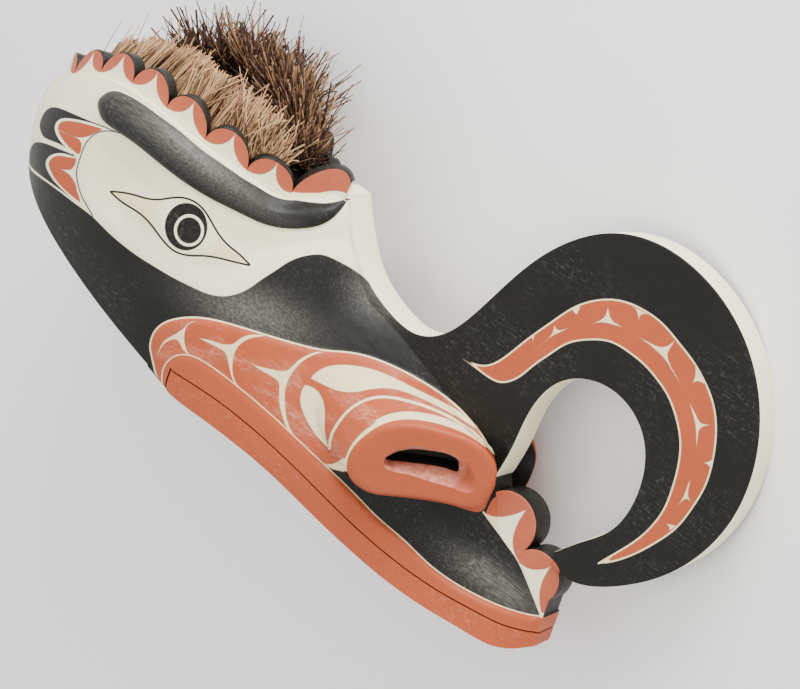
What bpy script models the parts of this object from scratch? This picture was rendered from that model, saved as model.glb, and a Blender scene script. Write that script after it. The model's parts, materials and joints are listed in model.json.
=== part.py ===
"""A crooked-beak dance mask of carved and painted red cedar, lying on its left side.

The mask is modelled upright in its own frame: +X towards the beak's tip along the lips, +Y to its
left, +Z up, with the jaw's hinge near the origin. An empty then lays it on the floor, and a second
empty under it sits on the hinge's axis and carries the jaw.
"""

import math

import bmesh
import bpy
import numpy as np
from mathutils import Matrix

# Driving sizes of the carving, in metres
PLATE_HALF = 0.020  # the ridge and the curl are one flat plate
BEAK_CREST_HALF = 0.0155
RIM_SLOPE = 0.335  # the open rim rises by this much for each metre towards the back
LIP_GAP = 0.0016
CREST_INSET = 0.009
CREST_THICK = 0.015
CREST_ROOT = 0.011  # how deep the scalloped wall runs on into the head
SCALLOPS = 18
SCALLOP_LIFT = 0.005  # from the head's ledge to the notches between scallops
SCALLOP_RISE = 0.026
SEAM = 0.0005  # between separate pieces that touch
HINGE_CLEAR = 0.0016  # free height over the jaw's back end
CREST_EASE = 0.050  # the length over which the crest steps in from the head's edge

# How finely the forms are divided
BODY_COLUMNS = 50
BODY_ROWS = 15
EDGE_STEPS = 240
TOP_STRIPS = 4
SCALLOP_STEPS = 8
CAVITY_COLUMNS = 20
CAVITY_ARC = 14

# The jaw's hinge, and the two leather straps that carry it
HINGE_X = -0.0020
HINGE_Z = -0.0022
STRAP_WIDTH = 0.018
STRAP_THICK = 0.0040
STRAP_REACH = 0.058
TAB_REACH = 0.034
STRAP_EDGE = 0.003  # from the mask's side to a strap's outer edge
STRAP_PART = 0.0020  # the free length at the hinge

# How the mask lies: rolled onto its left side, then tipped until the brow, a nostril and the curl
# bear on the floor, each with a small flat so that it doesn't rock
LIE_ROLL = math.radians(-90.0)
LIE_TIP = math.radians(9.25)
LIE_LEAN = math.radians(-5.65)
LIE_FLAT = 0.0020  # how deep the flats are

# The body, from the back of the head to the beak's tip, jaw included. Each station has a point on
# the lower edge and one on the top edge, as (forward, half width, height), and the belly between.
STATIONS = (
    ((-0.318, 0.0000, 0.1065), (-0.328, 0.000, 0.186), 0.006),
    ((-0.306, 0.0460, 0.1025), (-0.314, 0.048, 0.193), 0.007),
    ((-0.272, 0.0820, 0.0911), (-0.280, 0.085, 0.208), 0.008),
    ((-0.218, 0.1060, 0.0730), (-0.228, 0.109, 0.230), 0.009),
    ((-0.150, 0.1130, 0.0503), (-0.166, 0.121, 0.245), 0.010),
    ((-0.088, 0.1090, 0.0295), (-0.106, 0.117, 0.241), 0.012),
    ((-0.040, 0.1010, 0.0134), (-0.062, 0.100, 0.232), 0.014),
    ((0.000, 0.0935, 0.0000), (-0.028, 0.074, 0.223), 0.016),
    ((0.040, 0.0865, -0.0035), (0.008, 0.046, 0.223), 0.018),
    ((0.082, 0.0795, -0.0060), (0.048, 0.021, 0.244), 0.019),
    ((0.120, 0.0730, -0.0100), (0.098, 0.018, 0.190), 0.020),
    ((0.161, 0.0670, -0.0170), (0.150, 0.018, 0.170), 0.019),
    ((0.200, 0.0610, -0.0250), (0.200, 0.018, 0.157), 0.016),
    ((0.236, 0.0540, -0.0320), (0.244, 0.018, 0.146), 0.010),
    ((0.272, 0.0460, -0.0380), (0.284, 0.018, 0.134), 0.004),
    ((0.304, 0.0390, -0.0408), (0.318, 0.017, 0.104), 0.000),
    ((0.336, 0.0320, -0.0412), (0.346, 0.0165, 0.061), -0.002),
    ((0.368, 0.0260, -0.0392), (0.374, 0.0165, 0.0490), -0.003),
    ((0.402, 0.0200, -0.0350), (0.402, 0.0165, 0.0325), -0.001),
    ((0.434, 0.0163, -0.0140), (0.429, 0.0163, 0.0165), 0.000),
)

# The line where the lips meet: forward, height of the upper lip's edge
LIP_LINE = (
    (0.000, 0.0240), (0.040, 0.0238), (0.082, 0.0207), (0.120, 0.0159), (0.161, 0.0088),
    (0.200, 0.0003), (0.236, -0.0082), (0.272, -0.0151), (0.304, -0.0187), (0.336, -0.0196),
    (0.368, -0.0170), (0.402, -0.0108), (0.434, 0.0015), (0.480, 0.0040),
)

# The plate with the ridge and the curl: its outer edge, its loop, and its root in the head
PLATE_OUTER = (
    (0.047, 0.253), (0.062, 0.233), (0.086, 0.206), (0.111, 0.188), (0.145, 0.176),
    (0.178, 0.174), (0.203, 0.189), (0.222, 0.222), (0.243, 0.280), (0.268, 0.327),
    (0.306, 0.363), (0.358, 0.379), (0.417, 0.371), (0.468, 0.344), (0.507, 0.301),
    (0.530, 0.247), (0.533, 0.190), (0.515, 0.136), (0.483, 0.095), (0.446, 0.068),
    (0.424, 0.0635), (0.409, 0.066),
)
PLATE_INNER = (
    (0.407, 0.078), (0.426, 0.104), (0.443, 0.128), (0.449, 0.160), (0.441, 0.198),
    (0.420, 0.226), (0.386, 0.240), (0.351, 0.234), (0.327, 0.211), (0.319, 0.174),
    (0.321, 0.138), (0.320, 0.105),
)
PLATE_ROOT = ((0.310, 0.060), (0.200, 0.100), (0.060, 0.170), (0.030, 0.215), (0.030, 0.253))

# The two round lobes on the beak's front, as (forward, height, radius), and the foot under them
BEAK_LOBES = ((0.3510, 0.0710, 0.0310), (0.4005, 0.0435, 0.0262))
BEAK_CREST_FOOT = ((0.428, 0.012), (0.330, 0.012), (0.322, 0.055))
LOBES_START, LOBES_END = 3.3, -0.4  # the angles at which the lobes' outline meets the foot

# The cavity for the wearer's head, which runs on under the beak: forward, half width, roof
CAVITY = (
    (-0.300, 0.014, 0.128), (-0.288, 0.044, 0.158), (-0.255, 0.074, 0.188), (-0.205, 0.094, 0.210),
    (-0.140, 0.102, 0.221), (-0.070, 0.095, 0.212), (-0.020, 0.080, 0.192), (0.030, 0.069, 0.158),
    (0.080, 0.061, 0.124), (0.140, 0.052, 0.094), (0.200, 0.044, 0.068), (0.260, 0.033, 0.046),
    (0.310, 0.022, 0.030), (0.345, 0.012, 0.020),
)
CAVITY_FLOOR = -0.060
BLOCK_FLOOR = -0.080
BLOCK_HALF = 0.160
TROUGH_TOP = 0.050
CAVITY_ROUND = 2.6  # the power of the roof's rounded shape

# The jaw's own trough: forward, half width, height of its floor
TROUGH = (
    (-0.020, 0.0800, 0.0120), (0.030, 0.0740, 0.0085), (0.100, 0.0640, 0.0040),
    (0.180, 0.0520, -0.0090), (0.250, 0.0390, -0.0225), (0.310, 0.0260, -0.0290),
    (0.360, 0.0140, -0.0290), (0.380, 0.0060, -0.0255),
)

# The brow's ridge: forward, height, half width
BROW = (
    (-0.205, 0.209, 0.010), (-0.185, 0.217, 0.014), (-0.140, 0.223, 0.019), (-0.090, 0.221, 0.018),
    (-0.040, 0.216, 0.016), (0.000, 0.214, 0.015), (0.030, 0.219, 0.012), (0.052, 0.236, 0.005),
)
BROW_RISE = 0.008
SOCKET_MIDDLE = (-0.062, 0.160)
SOCKET_HALF = (0.120, 0.052)
SOCKET_DEPTH = 0.006

# The raised upper lip: the height of its top edge, and how far it stands out
HORN_TOP = (
    (-0.034, 0.034), (-0.026, 0.058), (-0.008, 0.080), (0.020, 0.096), (0.067, 0.113),
    (0.118, 0.122), (0.170, 0.136), (0.226, 0.142), (0.272, 0.138), (0.300, 0.120),
)
HORN_RISE = 0.006
HORN_SOFT = 0.016

# A nostril: the rim of its flared mouth in the side view, the slanting plane that the rim lies in,
# and how its root is drawn back into the beak
NOSTRIL_RIM = (
    (0.2140, 0.0500), (0.2170, 0.0800), (0.2330, 0.1110), (0.2630, 0.1310), (0.3020, 0.1330),
    (0.3260, 0.1130), (0.3320, 0.0880), (0.3160, 0.0680), (0.2700, 0.0500), (0.2320, 0.0400),
)
NOSTRIL_HOLE = (
    (0.2420, 0.0760), (0.2450, 0.0940), (0.2590, 0.1090), (0.2860, 0.1180),
    (0.3060, 0.1100), (0.3140, 0.0920), (0.3050, 0.0790), (0.2620, 0.0690),
)
NOSTRIL_AT = 0.270
NOSTRIL_OUT = 0.065
NOSTRIL_SLANT = -0.46
NOSTRIL_SWEEP = 2.8
NOSTRIL_HEIGHT = 0.090
NOSTRIL_LIFT = 0.022
NOSTRIL_SHRINK = 0.75
NOSTRIL_DEPTH = 0.034
POCKET_MOUTH = -0.012
POCKET_SHRINK = 0.70
POCKET_LIFT = 0.010

# Bark fringes: a row along the inside of each half of the scalloped wall
BARK_HEIGHT = 0.060
BARK_GAP = 0.0030
BARK_FOOT = 0.020
BARK_LEAN = 0.030
BARK_FROM = 0.066
BARK_TO = 0.396
BARK_STEPS = 28
BARK_EASE = 0.050  # the length over which a row's ends rise
BARK_END = 0.55  # a row's height at its ends, as a share

# Colours, as the photo shows them
CEDAR_WHITE = (0.90, 0.88, 0.80)
LIP_RED = (0.56, 0.16, 0.085)
BARK_TAN = (0.42, 0.26, 0.14)
LEATHER_BLACK = (0.02, 0.018, 0.016)


def natural_cubic(knots, values, at):
    """The natural cubic spline through the values at the knots, read at the given places."""
    n = len(knots)
    gap = np.diff(knots)
    slope = np.diff(values, axis=0) / gap[:, None]
    system = np.eye(n)
    right = np.zeros((n, values.shape[1]))
    for i in range(1, n - 1):
        system[i, i - 1 : i + 2] = gap[i - 1], 2 * (gap[i - 1] + gap[i]), gap[i]
        right[i] = 6 * (slope[i] - slope[i - 1])
    second = np.linalg.solve(system, right)
    i = np.clip(np.searchsorted(knots, at, side="right") - 1, 0, n - 2)
    a = ((knots[i + 1] - at) / gap[i])[:, None]
    b = 1.0 - a
    bend = ((a**3 - a) * second[i] + (b**3 - b) * second[i + 1]) * (gap[i] ** 2)[:, None] / 6
    return a * values[i] + b * values[i + 1] + bend


def spline(points, count, closed=False):
    """A smooth curve through points, which it passes at a pace that follows their spacing."""
    given = np.array(points, float)
    if closed:
        given = np.concatenate([given[-3:], given, given[:4]])
    steps = np.linalg.norm(np.diff(given[:, :3], axis=0), axis=1)
    knots = np.concatenate([[0.0], np.cumsum(np.sqrt(steps))])
    if closed:
        at = np.linspace(knots[3], knots[-4], count, endpoint=False)
    else:
        at = np.linspace(0.0, knots[-1], count)
    return natural_cubic(knots, given, at)


def smooth_step(t):
    """Rises from 0 to 1 as t does, level at both ends."""
    t = np.clip(t, 0.0, 1.0)
    return t * t * (3 - 2 * t)


def carved_relief(x, z):
    """How far the brow, the eye's socket and the raised lip stand out at a place in the side view."""
    line = np.array(BROW)
    middle = np.interp(x, line[:, 0], line[:, 1])
    half = np.interp(x, line[:, 0], line[:, 2], left=0.0, right=0.0)
    across = (z - middle) / np.maximum(half, 1e-4)
    brow = np.where(half > 0, BROW_RISE * np.sqrt(np.clip(1 - across**2, 0, 1)), 0.0)
    along = (x - SOCKET_MIDDLE[0]) / SOCKET_HALF[0]
    up = (z - SOCKET_MIDDLE[1]) / SOCKET_HALF[1]
    socket = -SOCKET_DEPTH * smooth_step(1.35 * (1 - along**2 - up**2))
    edge = np.array(HORN_TOP)
    below = np.interp(x, edge[:, 0], edge[:, 1], left=-1.0) - z
    horn = HORN_RISE * smooth_step(below / HORN_SOFT + 0.5)
    return brow + socket + horn


def side_surface(columns, rows):
    """The body's right side as a grid of (forward, half width, height), back to tip, foot to top."""
    flat = np.array([[*low, *high, belly] for low, high, belly in STATIONS])
    guide = spline(flat, columns)
    low, high, belly = guide[:, 0:3], guide[:, 3:6], guide[:, 6]
    behind = low[:, 0] < 0
    low[behind, 2] = -RIM_SLOPE * low[behind, 0]
    along = np.gradient((low + high) / 2, axis=0)[:, :2]
    out = np.stack([-along[:, 1], along[:, 0]], axis=1)
    out /= np.linalg.norm(out, axis=1)[:, None]
    out[0] = (-1.0, 0.0)
    v = np.linspace(0.0, 1.0, rows)
    grid = low[:, None] * (1 - v)[None, :, None] + high[:, None] * v[None, :, None]
    push = belly[:, None] * 4 * (v * (1 - v))[None]
    relief = carved_relief(grid[..., 0], grid[..., 2]) * smooth_step(np.arange(columns) / 4)[:, None]
    push = push + relief * smooth_step((1 - v) / 0.04)[None]
    grid[..., 0] += push * out[:, None, 0]
    grid[..., 1] += push * out[:, None, 1]
    grid[0, :, 1] = 0.0
    return grid


def body_skin():
    """The whole closed body, jaw included, with the floor of the crest's trough on top."""
    rings = []
    for column in side_surface(BODY_COLUMNS, BODY_ROWS):
        right = [(x, -w, z) for x, w, z in column]
        left = [(x, w, z) for x, w, z in column[::-1]]
        x, w, z = column[-1]
        top = [(x, w * s, z) for s in np.linspace(-1, 1, TOP_STRIPS + 1)[1:-1]]
        rings.append(right + top + left)
    return skin(rings, first_cap=False)


def skin(rings, first_cap=True):
    """Vertices and faces of a closed skin over rings of equal length, capped at its ends."""
    points = [p for ring in rings for p in ring]
    n = len(rings[0])
    faces = []
    for i in range(len(rings) - 1):
        for j in range(n):
            k = (j + 1) % n
            faces.append((i * n + j, i * n + k, (i + 1) * n + k, (i + 1) * n + j))
    last = (len(rings) - 1) * n
    if first_cap:
        faces.append(tuple(range(n))[::-1])
    faces.append(tuple(range(last, last + n)))
    return points, faces


def make_object(name, skinned, material=None):
    """A named object whose doubled points are merged and whose faces point out."""
    points, faces = skinned
    mesh = bpy.data.meshes.new(name)
    mesh.from_pydata([tuple(float(c) for c in p) for p in points], [], faces)
    work = bmesh.new()
    work.from_mesh(mesh)
    bmesh.ops.remove_doubles(work, verts=work.verts, dist=1e-6)
    bmesh.ops.dissolve_degenerate(work, edges=work.edges, dist=1e-6)
    bmesh.ops.triangulate(work, faces=[f for f in work.faces if len(f.verts) > 4])
    bmesh.ops.recalc_face_normals(work, faces=work.faces)
    work.to_mesh(mesh)
    work.free()
    thing = bpy.data.objects.new(name, mesh)
    bpy.context.scene.collection.objects.link(thing)
    if material:
        mesh.materials.append(material)
        mesh.shade_smooth()
        mesh.set_sharp_from_angle(angle=math.radians(35))
    return thing


def finish(name, colour, roughness):
    """A plain Principled material."""
    material = bpy.data.materials.new(name)
    material.use_nodes = True
    shader = material.node_tree.nodes["Principled BSDF"]
    shader.inputs["Base Color"].default_value = (*colour, 1.0)
    shader.inputs["Roughness"].default_value = roughness
    shader.inputs["Metallic"].default_value = 0.0
    return material


def slab(name, outline, half, material=None):
    """A flat plate about the middle plane with the given outline in the side view."""
    return make_object(name, skin([[(x, y, z) for x, z in outline] for y in (-half, half)]), material)


def combine(target, other, how):
    """Joins a hidden helper to the target, or cuts it away, and hides the helper."""
    other.hide_render = True
    other.display_type = "WIRE"
    step = target.modifiers.new(other.name, "BOOLEAN")
    step.operation = how
    step.object = other
    step.solver = "EXACT"


def ridge_and_curl():
    """The flat plate that stands along the beak and curls round at its end."""
    outline = [*spline(PLATE_OUTER, 56), *spline(PLATE_INNER, 30), *PLATE_ROOT]
    return slab("ridge_and_curl_form", outline, PLATE_HALF)


def beak_crest():
    """The two round lobes on the beak's front, over a foot that is buried in the beak."""
    (x1, z1, r1), (x2, z2, r2) = BEAK_LOBES
    apart = math.hypot(x2 - x1, z2 - z1)
    towards = math.atan2(z2 - z1, x2 - x1)
    first = towards + math.acos((apart**2 + r1**2 - r2**2) / (2 * apart * r1))
    second = towards + math.pi - math.acos((apart**2 + r2**2 - r1**2) / (2 * apart * r2))
    outline = [(x1 + r1 * math.cos(a), z1 + r1 * math.sin(a)) for a in np.linspace(LOBES_START, first, 16)]
    turn = np.linspace(second, LOBES_END, 14)[1:]
    outline += [(x2 + r2 * math.cos(a), z2 + r2 * math.sin(a)) for a in turn]
    return slab("beak_crest_form", [*outline, *BEAK_CREST_FOOT], BEAK_CREST_HALF)


def crest_line(steps):
    """The scalloped wall's outer foot in plan, from its front end round to the back, evenly stepped.

    Returns rows of (forward, half width, height) and the unit normals that point inwards.
    """
    edge = side_surface(EDGE_STEPS, 2)[:, -1]
    edge = edge[edge[:, 0] <= STATIONS[9][1][0]][::-1]
    along = np.gradient(edge[:, :2], axis=0)
    inward = np.stack([-along[:, 1], along[:, 0]], axis=1)
    inward /= np.linalg.norm(inward, axis=1)[:, None]
    inward[-1] = (1.0, 0.0)
    inset = CREST_INSET * smooth_step((edge[0, 0] - edge[:, 0]) / CREST_EASE)
    edge[:, :2] += inward * inset[:, None]
    run = np.concatenate([[0], np.cumsum(np.linalg.norm(np.diff(edge[:, :2], axis=0), axis=1))])
    at = np.linspace(0, run[-1], steps)
    line = np.stack([np.interp(at, run, edge[:, k]) for k in range(3)], axis=1)
    facing = np.stack([np.interp(at, run, inward[:, k]) for k in range(2)], axis=1)
    line[-1, 1] = 0.0
    facing[-1] = (1.0, 0.0)
    return line, facing / np.linalg.norm(facing, axis=1)[:, None], at


def scalloped_wall():
    """The crest: a wall of round scallops that runs from the ridge round the back of the head."""
    half_steps = SCALLOPS * SCALLOP_STEPS // 2 + 1
    line, facing, at = crest_line(half_steps)
    pitch = at[-1] / (SCALLOPS / 2)
    rings = []
    for (x, w, z), (fx, fw), run in zip(line, facing, at, strict=True):
        across = 2 * (run / pitch % 1.0) - 1
        top = z + SCALLOP_LIFT + SCALLOP_RISE * math.sqrt(max(0.0, 1 - across**2))
        inner = (x + CREST_THICK * fx, max(w + CREST_THICK * fw, 0.0))
        rings.append([(x, w, z - CREST_ROOT), (x, w, top), (*inner, top), (*inner, z - CREST_ROOT)])
    near = [[(x, -w, z) for x, w, z in ring] for ring in rings]
    return make_object("scalloped_wall_form", skin(near + rings[-2::-1]))


def nostril_plane(x):
    """The half width at which the slanting plane of a nostril's mouth stands."""
    return NOSTRIL_OUT + NOSTRIL_SLANT * (x - NOSTRIL_AT)


def nostrils():
    """Both nostrils' flared forms, each swept back from its mouth into the middle of the beak."""
    rim = spline(NOSTRIL_RIM, 26, closed=True)
    root = []
    for x, z in rim:
        height = NOSTRIL_HEIGHT + NOSTRIL_LIFT + NOSTRIL_SHRINK * (z - NOSTRIL_HEIGHT)
        root.append((x - NOSTRIL_SWEEP * nostril_plane(x), 0.0, height))
    right, left = ([(x, side * nostril_plane(x), z) for x, z in rim] for side in (-1, 1))
    return make_object("nostrils_form", skin([right, root, left]))


def nostril_pocket(side):
    """The pocket in a nostril's mouth, as a cutter that narrows as it goes in."""
    facing = np.array([-NOSTRIL_SLANT, 1.0]) / math.hypot(NOSTRIL_SLANT, 1.0)
    rim = spline(NOSTRIL_HOLE, 20, closed=True)
    middle = rim.mean(axis=0)
    rings = []
    floor = (NOSTRIL_DEPTH, POCKET_SHRINK, POCKET_LIFT)
    for depth, shrink, lift in ((POCKET_MOUTH, 1.0, 0.0), (0.0, 1.0, 0.0), floor):
        ring = middle + (rim - middle) * shrink
        rings.append(
            [
                (x - depth * facing[0], side * (nostril_plane(x) - depth * facing[1]), z + lift)
                for x, z in ring
            ]
        )
    return make_object(f"nostril_cut_{side_name(side)}", skin(rings))


def cavity():
    """The hollow for the wearer's head, open below, as a cutter."""
    rings = []
    for x, half, roof in spline(CAVITY, CAVITY_COLUMNS):
        ring = [(x, -half, CAVITY_FLOOR)]
        for angle in np.linspace(math.pi, 0, CAVITY_ARC):
            c, s = math.cos(angle), math.sin(angle)
            y = half * math.copysign(abs(c) ** (2 / CAVITY_ROUND), c)
            ring.append((x, y, roof * s ** (2 / CAVITY_ROUND)))
        ring.append((x, half, CAVITY_FLOOR))
        rings.append(ring)
    return make_object("head_cavity_cut", skin(rings))


def jaw_trough():
    """The hollow in the jaw, open above and behind, as a cutter."""
    rings = []
    for x, half, floor in spline(TROUGH, 14):
        left = [(x, half, floor), (x, half, TROUGH_TOP)]
        rings.append([(x, -half, TROUGH_TOP), (x, -half, floor), *left])
    return make_object("jaw_trough_cut", skin(rings))


def below_lip_line(name, drop, behind):
    """A block under the lip line: it cuts the jaw's notch, or keeps the jaw alone."""
    line = [(x, z - drop) for x, z in LIP_LINE]
    start = (HINGE_X - behind, line[0][1] + HINGE_CLEAR)
    outline = [start, *line, (LIP_LINE[-1][0], BLOCK_FLOOR), (HINGE_X - behind, BLOCK_FLOOR)]
    return slab(name, outline, BLOCK_HALF)


def side_name(side):
    """The side of the mask that a sign of y stands for."""
    return "right" if side < 0 else "left"


def underside(x):
    """The half width and height of the body's lower edge at a place."""
    edge = side_surface(EDGE_STEPS, 2)[:, 0]
    return np.interp(x, edge[:, 0], edge[:, 1]), np.interp(x, edge[:, 0], edge[:, 2])


def strap(name, side, start, end, material):
    """A stretch of a hinge strap, flat under the body's lower edge."""
    rings = []
    for x in np.linspace(start, end, 8):
        half, z = underside(x)
        outer = half - STRAP_EDGE
        inner = outer - STRAP_WIDTH
        top = z - SEAM
        low = top - STRAP_THICK
        rings.append([(x, side * y, h) for y, h in ((outer, low), (outer, top), (inner, top), (inner, low))])
    return make_object(name, skin(rings), material)


def bark_row(side, material):
    """A thick row of shredded bark, rooted inside the scalloped wall and leaning over the middle."""
    line, facing, at = crest_line(EDGE_STEPS)
    floor = line[::-1]
    start = CREST_THICK + BARK_GAP
    rings = []
    for run in np.linspace(BARK_FROM, BARK_TO, BARK_STEPS):
        x, w = (np.interp(run, at, line[:, k]) for k in range(2))
        fx, fw = (np.interp(run, at, facing[:, k]) for k in range(2))
        end = min(run - BARK_FROM, BARK_TO - run) / BARK_EASE
        height = BARK_HEIGHT * (BARK_END + (1 - BARK_END) * smooth_step(end))
        ring = []
        for across, up in (
            (start, BARK_GAP), (start + BARK_FOOT, BARK_GAP),
            (start + BARK_FOOT + BARK_LEAN, 0.75 * height), (start + BARK_LEAN, height),
            (start + 0.008, 0.62 * height), (start, 0.3 * height),
        ):
            px = x + across * fx
            py = max(w + across * fw, BARK_GAP)
            ring.append((px, side * py, np.interp(px, floor[:, 0], floor[:, 2]) + up))
        rings.append(ring)
    return make_object(f"bark_fringe_{side_name(side)}", skin(rings), material)


def carve_mask(material):
    """The upper mask in one piece: head, ridge, curl, crest, lobes and nostrils, hollow below."""
    mask = make_object("carved_mask", body_skin(), material)
    for form in (ridge_and_curl(), scalloped_wall(), beak_crest(), nostrils()):
        combine(mask, form, "UNION")
    notch = below_lip_line("jaw_notch_cut", 0.0, LIP_GAP)
    for cutter in (cavity(), nostril_pocket(-1), nostril_pocket(1), notch):
        combine(mask, cutter, "DIFFERENCE")
    return mask


def carve_jaw(material):
    """The hinged lower jaw: what lies below the lip line, hollowed from above."""
    jaw = make_object("lower_jaw", body_skin(), material)
    combine(jaw, below_lip_line("jaw_keep", LIP_GAP, 0.0), "INTERSECT")
    combine(jaw, jaw_trough(), "DIFFERENCE")
    return jaw


def hang_on(child, parent):
    """Parents a child without moving it."""
    place = child.matrix_world.copy()
    child.parent = parent
    child.matrix_parent_inverse = parent.matrix_world.inverted()
    child.matrix_world = place


def lay_down(lying, pieces):
    """Tips the mask onto its left side, centred over the origin, its lowest points a flat's depth down."""
    tip = Matrix.Rotation(LIE_TIP, 4, "Y") @ Matrix.Rotation(LIE_LEAN, 4, "X")
    lying.matrix_world = tip @ Matrix.Rotation(LIE_ROLL, 4, "X")
    bpy.context.view_layer.update()
    graph = bpy.context.evaluated_depsgraph_get()
    places = []
    for piece in pieces:
        mesh = piece.evaluated_get(graph).to_mesh()
        places += [piece.matrix_world @ v.co for v in mesh.vertices]
    low, high = np.min(places, axis=0), np.max(places, axis=0)
    middle = (low + high) / 2
    lying.matrix_world.translation = (-middle[0], -middle[1], -low[2] - LIE_FLAT)
    bpy.context.view_layer.update()


def main():
    """Builds every piece upright, then lays the mask down."""
    for thing in list(bpy.data.objects):
        bpy.data.objects.remove(thing)
    painted = finish("carved_mask", CEDAR_WHITE, 0.45)
    jaw_paint = finish("lower_jaw", LIP_RED, 0.5)
    bark = finish("bark_fringe", BARK_TAN, 0.9)
    leather = finish("hinge_strap", LEATHER_BLACK, 0.6)
    fixed = [carve_mask(painted)]
    moving = [carve_jaw(jaw_paint)]
    for side in (-1, 1):
        where = side_name(side)
        front = HINGE_X + STRAP_PART / 2
        back = HINGE_X - STRAP_PART / 2
        fixed.append(bark_row(side, bark))
        moving.append(strap(f"hinge_strap_{where}", side, front, front + STRAP_REACH, leather))
        fixed.append(strap(f"hinge_strap_{where}_tab", side, back - TAB_REACH, back, leather))

    lying = bpy.data.objects.new("lying_mask", None)
    hinge = bpy.data.objects.new("jaw_hinge", None)
    for empty in (lying, hinge):
        bpy.context.scene.collection.objects.link(empty)
    hinge.location = (HINGE_X, 0.0, HINGE_Z)
    bpy.context.view_layer.update()
    hang_on(hinge, lying)
    for piece in fixed:
        hang_on(piece, lying)
    for piece in moving:
        hang_on(piece, hinge)
    for cutter in [t for t in bpy.data.objects if t.hide_render]:
        hang_on(cutter, lying)
    lay_down(lying, [*fixed, *moving])
    floor = slab("floor_cut", ((-0.6, -0.1), (0.6, -0.1), (0.6, 0.0), (-0.6, 0.0)), 0.4)
    combine(fixed[0], floor, "DIFFERENCE")


main()
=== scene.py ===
"""The looks of a crooked-beak dance mask of carved and painted cedar, lying on its left side.

The wood is shaped upright in the maker's own frame, +X towards the beak's tip, +Y to the mask's
left and +Z up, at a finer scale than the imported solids, and is then laid down where they lie. The
painted design is drawn as outlines in a side view, the draughting plane, and each outline reaches
the materials as a distance that is stored on the mesh.
"""

import json
import math

import bmesh
import bpy
import numpy as np
from mathutils import Matrix, Vector
from mathutils.geometry import delaunay_2d_cdt


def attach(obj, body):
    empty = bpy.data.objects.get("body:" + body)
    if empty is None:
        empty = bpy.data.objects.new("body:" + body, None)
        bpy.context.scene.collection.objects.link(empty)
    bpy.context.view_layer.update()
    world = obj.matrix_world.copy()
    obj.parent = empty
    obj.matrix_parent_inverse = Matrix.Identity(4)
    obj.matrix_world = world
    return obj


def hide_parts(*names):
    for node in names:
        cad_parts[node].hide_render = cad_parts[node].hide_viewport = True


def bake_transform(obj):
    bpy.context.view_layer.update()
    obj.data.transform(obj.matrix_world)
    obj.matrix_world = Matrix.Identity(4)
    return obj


bl_info = {
    "name": "Crooked-beak mask",
    "version": (1, 0, 0),
    "blender": (4, 5, 0),
    "location": "3D Viewport > Sidebar > Mask",
    "description": "Carves, paints and lights a crooked-beak dance mask",
    "category": "Object",
}

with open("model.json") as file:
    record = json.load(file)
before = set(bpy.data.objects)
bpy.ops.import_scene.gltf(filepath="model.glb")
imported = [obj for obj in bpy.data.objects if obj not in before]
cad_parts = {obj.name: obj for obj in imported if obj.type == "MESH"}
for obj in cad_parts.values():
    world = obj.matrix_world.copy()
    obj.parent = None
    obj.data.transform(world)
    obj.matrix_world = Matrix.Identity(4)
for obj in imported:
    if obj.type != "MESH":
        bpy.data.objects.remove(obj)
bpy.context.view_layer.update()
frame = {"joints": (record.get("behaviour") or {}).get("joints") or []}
HINGE = frame["joints"][0]

# The solids' own sizes, in metres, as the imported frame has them
PLATE_HALF = 0.020
BEAK_CREST_HALF = 0.0163
RIM_SLOPE = 0.335
LIP_GAP = 0.0016
CREST_INSET = 0.009
CREST_THICK = 0.015
CREST_ROOT = 0.011
SCALLOPS = 18
SCALLOP_LIFT = 0.005
SCALLOP_RISE = 0.026
HINGE_X, HINGE_Z = -0.0020, -0.0022
LIE_ROLL, LIE_TIP, LIE_LEAN = -90.0, 9.25, -5.65

# The body, from the back of the head to the beak's tip, jaw included: a point on the lower edge and
# one on the top edge, as (forward, half width, height), and the belly between
STATIONS = (
    ((-0.318, 0.0000, 0.1065), (-0.326, 0.000, 0.180), 0.006),
    ((-0.306, 0.0460, 0.1025), (-0.313, 0.048, 0.1865), 0.007),
    ((-0.272, 0.0820, 0.0911), (-0.280, 0.085, 0.2025), 0.008),
    ((-0.218, 0.1060, 0.0730), (-0.228, 0.109, 0.230), 0.009),
    ((-0.150, 0.1130, 0.0503), (-0.166, 0.121, 0.245), 0.010),
    ((-0.088, 0.1090, 0.0295), (-0.106, 0.117, 0.241), 0.012),
    ((-0.040, 0.1010, 0.0134), (-0.062, 0.100, 0.232), 0.014),
    ((0.000, 0.0935, 0.0000), (-0.028, 0.074, 0.223), 0.016),
    ((0.040, 0.0865, -0.0035), (0.008, 0.046, 0.223), 0.018),
    ((0.082, 0.0795, -0.0060), (0.048, 0.021, 0.244), 0.019),
    ((0.120, 0.0730, -0.0100), (0.098, 0.018, 0.190), 0.020),
    ((0.161, 0.0670, -0.0170), (0.150, 0.018, 0.170), 0.019),
    ((0.200, 0.0610, -0.0250), (0.200, 0.018, 0.157), 0.016),
    ((0.236, 0.0540, -0.0320), (0.244, 0.018, 0.146), 0.010),
    ((0.272, 0.0460, -0.0380), (0.284, 0.018, 0.134), 0.004),
    ((0.304, 0.0390, -0.0408), (0.318, 0.017, 0.104), 0.000),
    ((0.336, 0.0320, -0.0412), (0.346, 0.0165, 0.061), -0.002),
    ((0.368, 0.0260, -0.0392), (0.374, 0.0165, 0.0490), -0.003),
    ((0.402, 0.0200, -0.0350), (0.402, 0.0165, 0.0325), -0.001),
    ((0.434, 0.0163, -0.0140), (0.429, 0.0163, 0.0165), 0.000),
)
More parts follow.
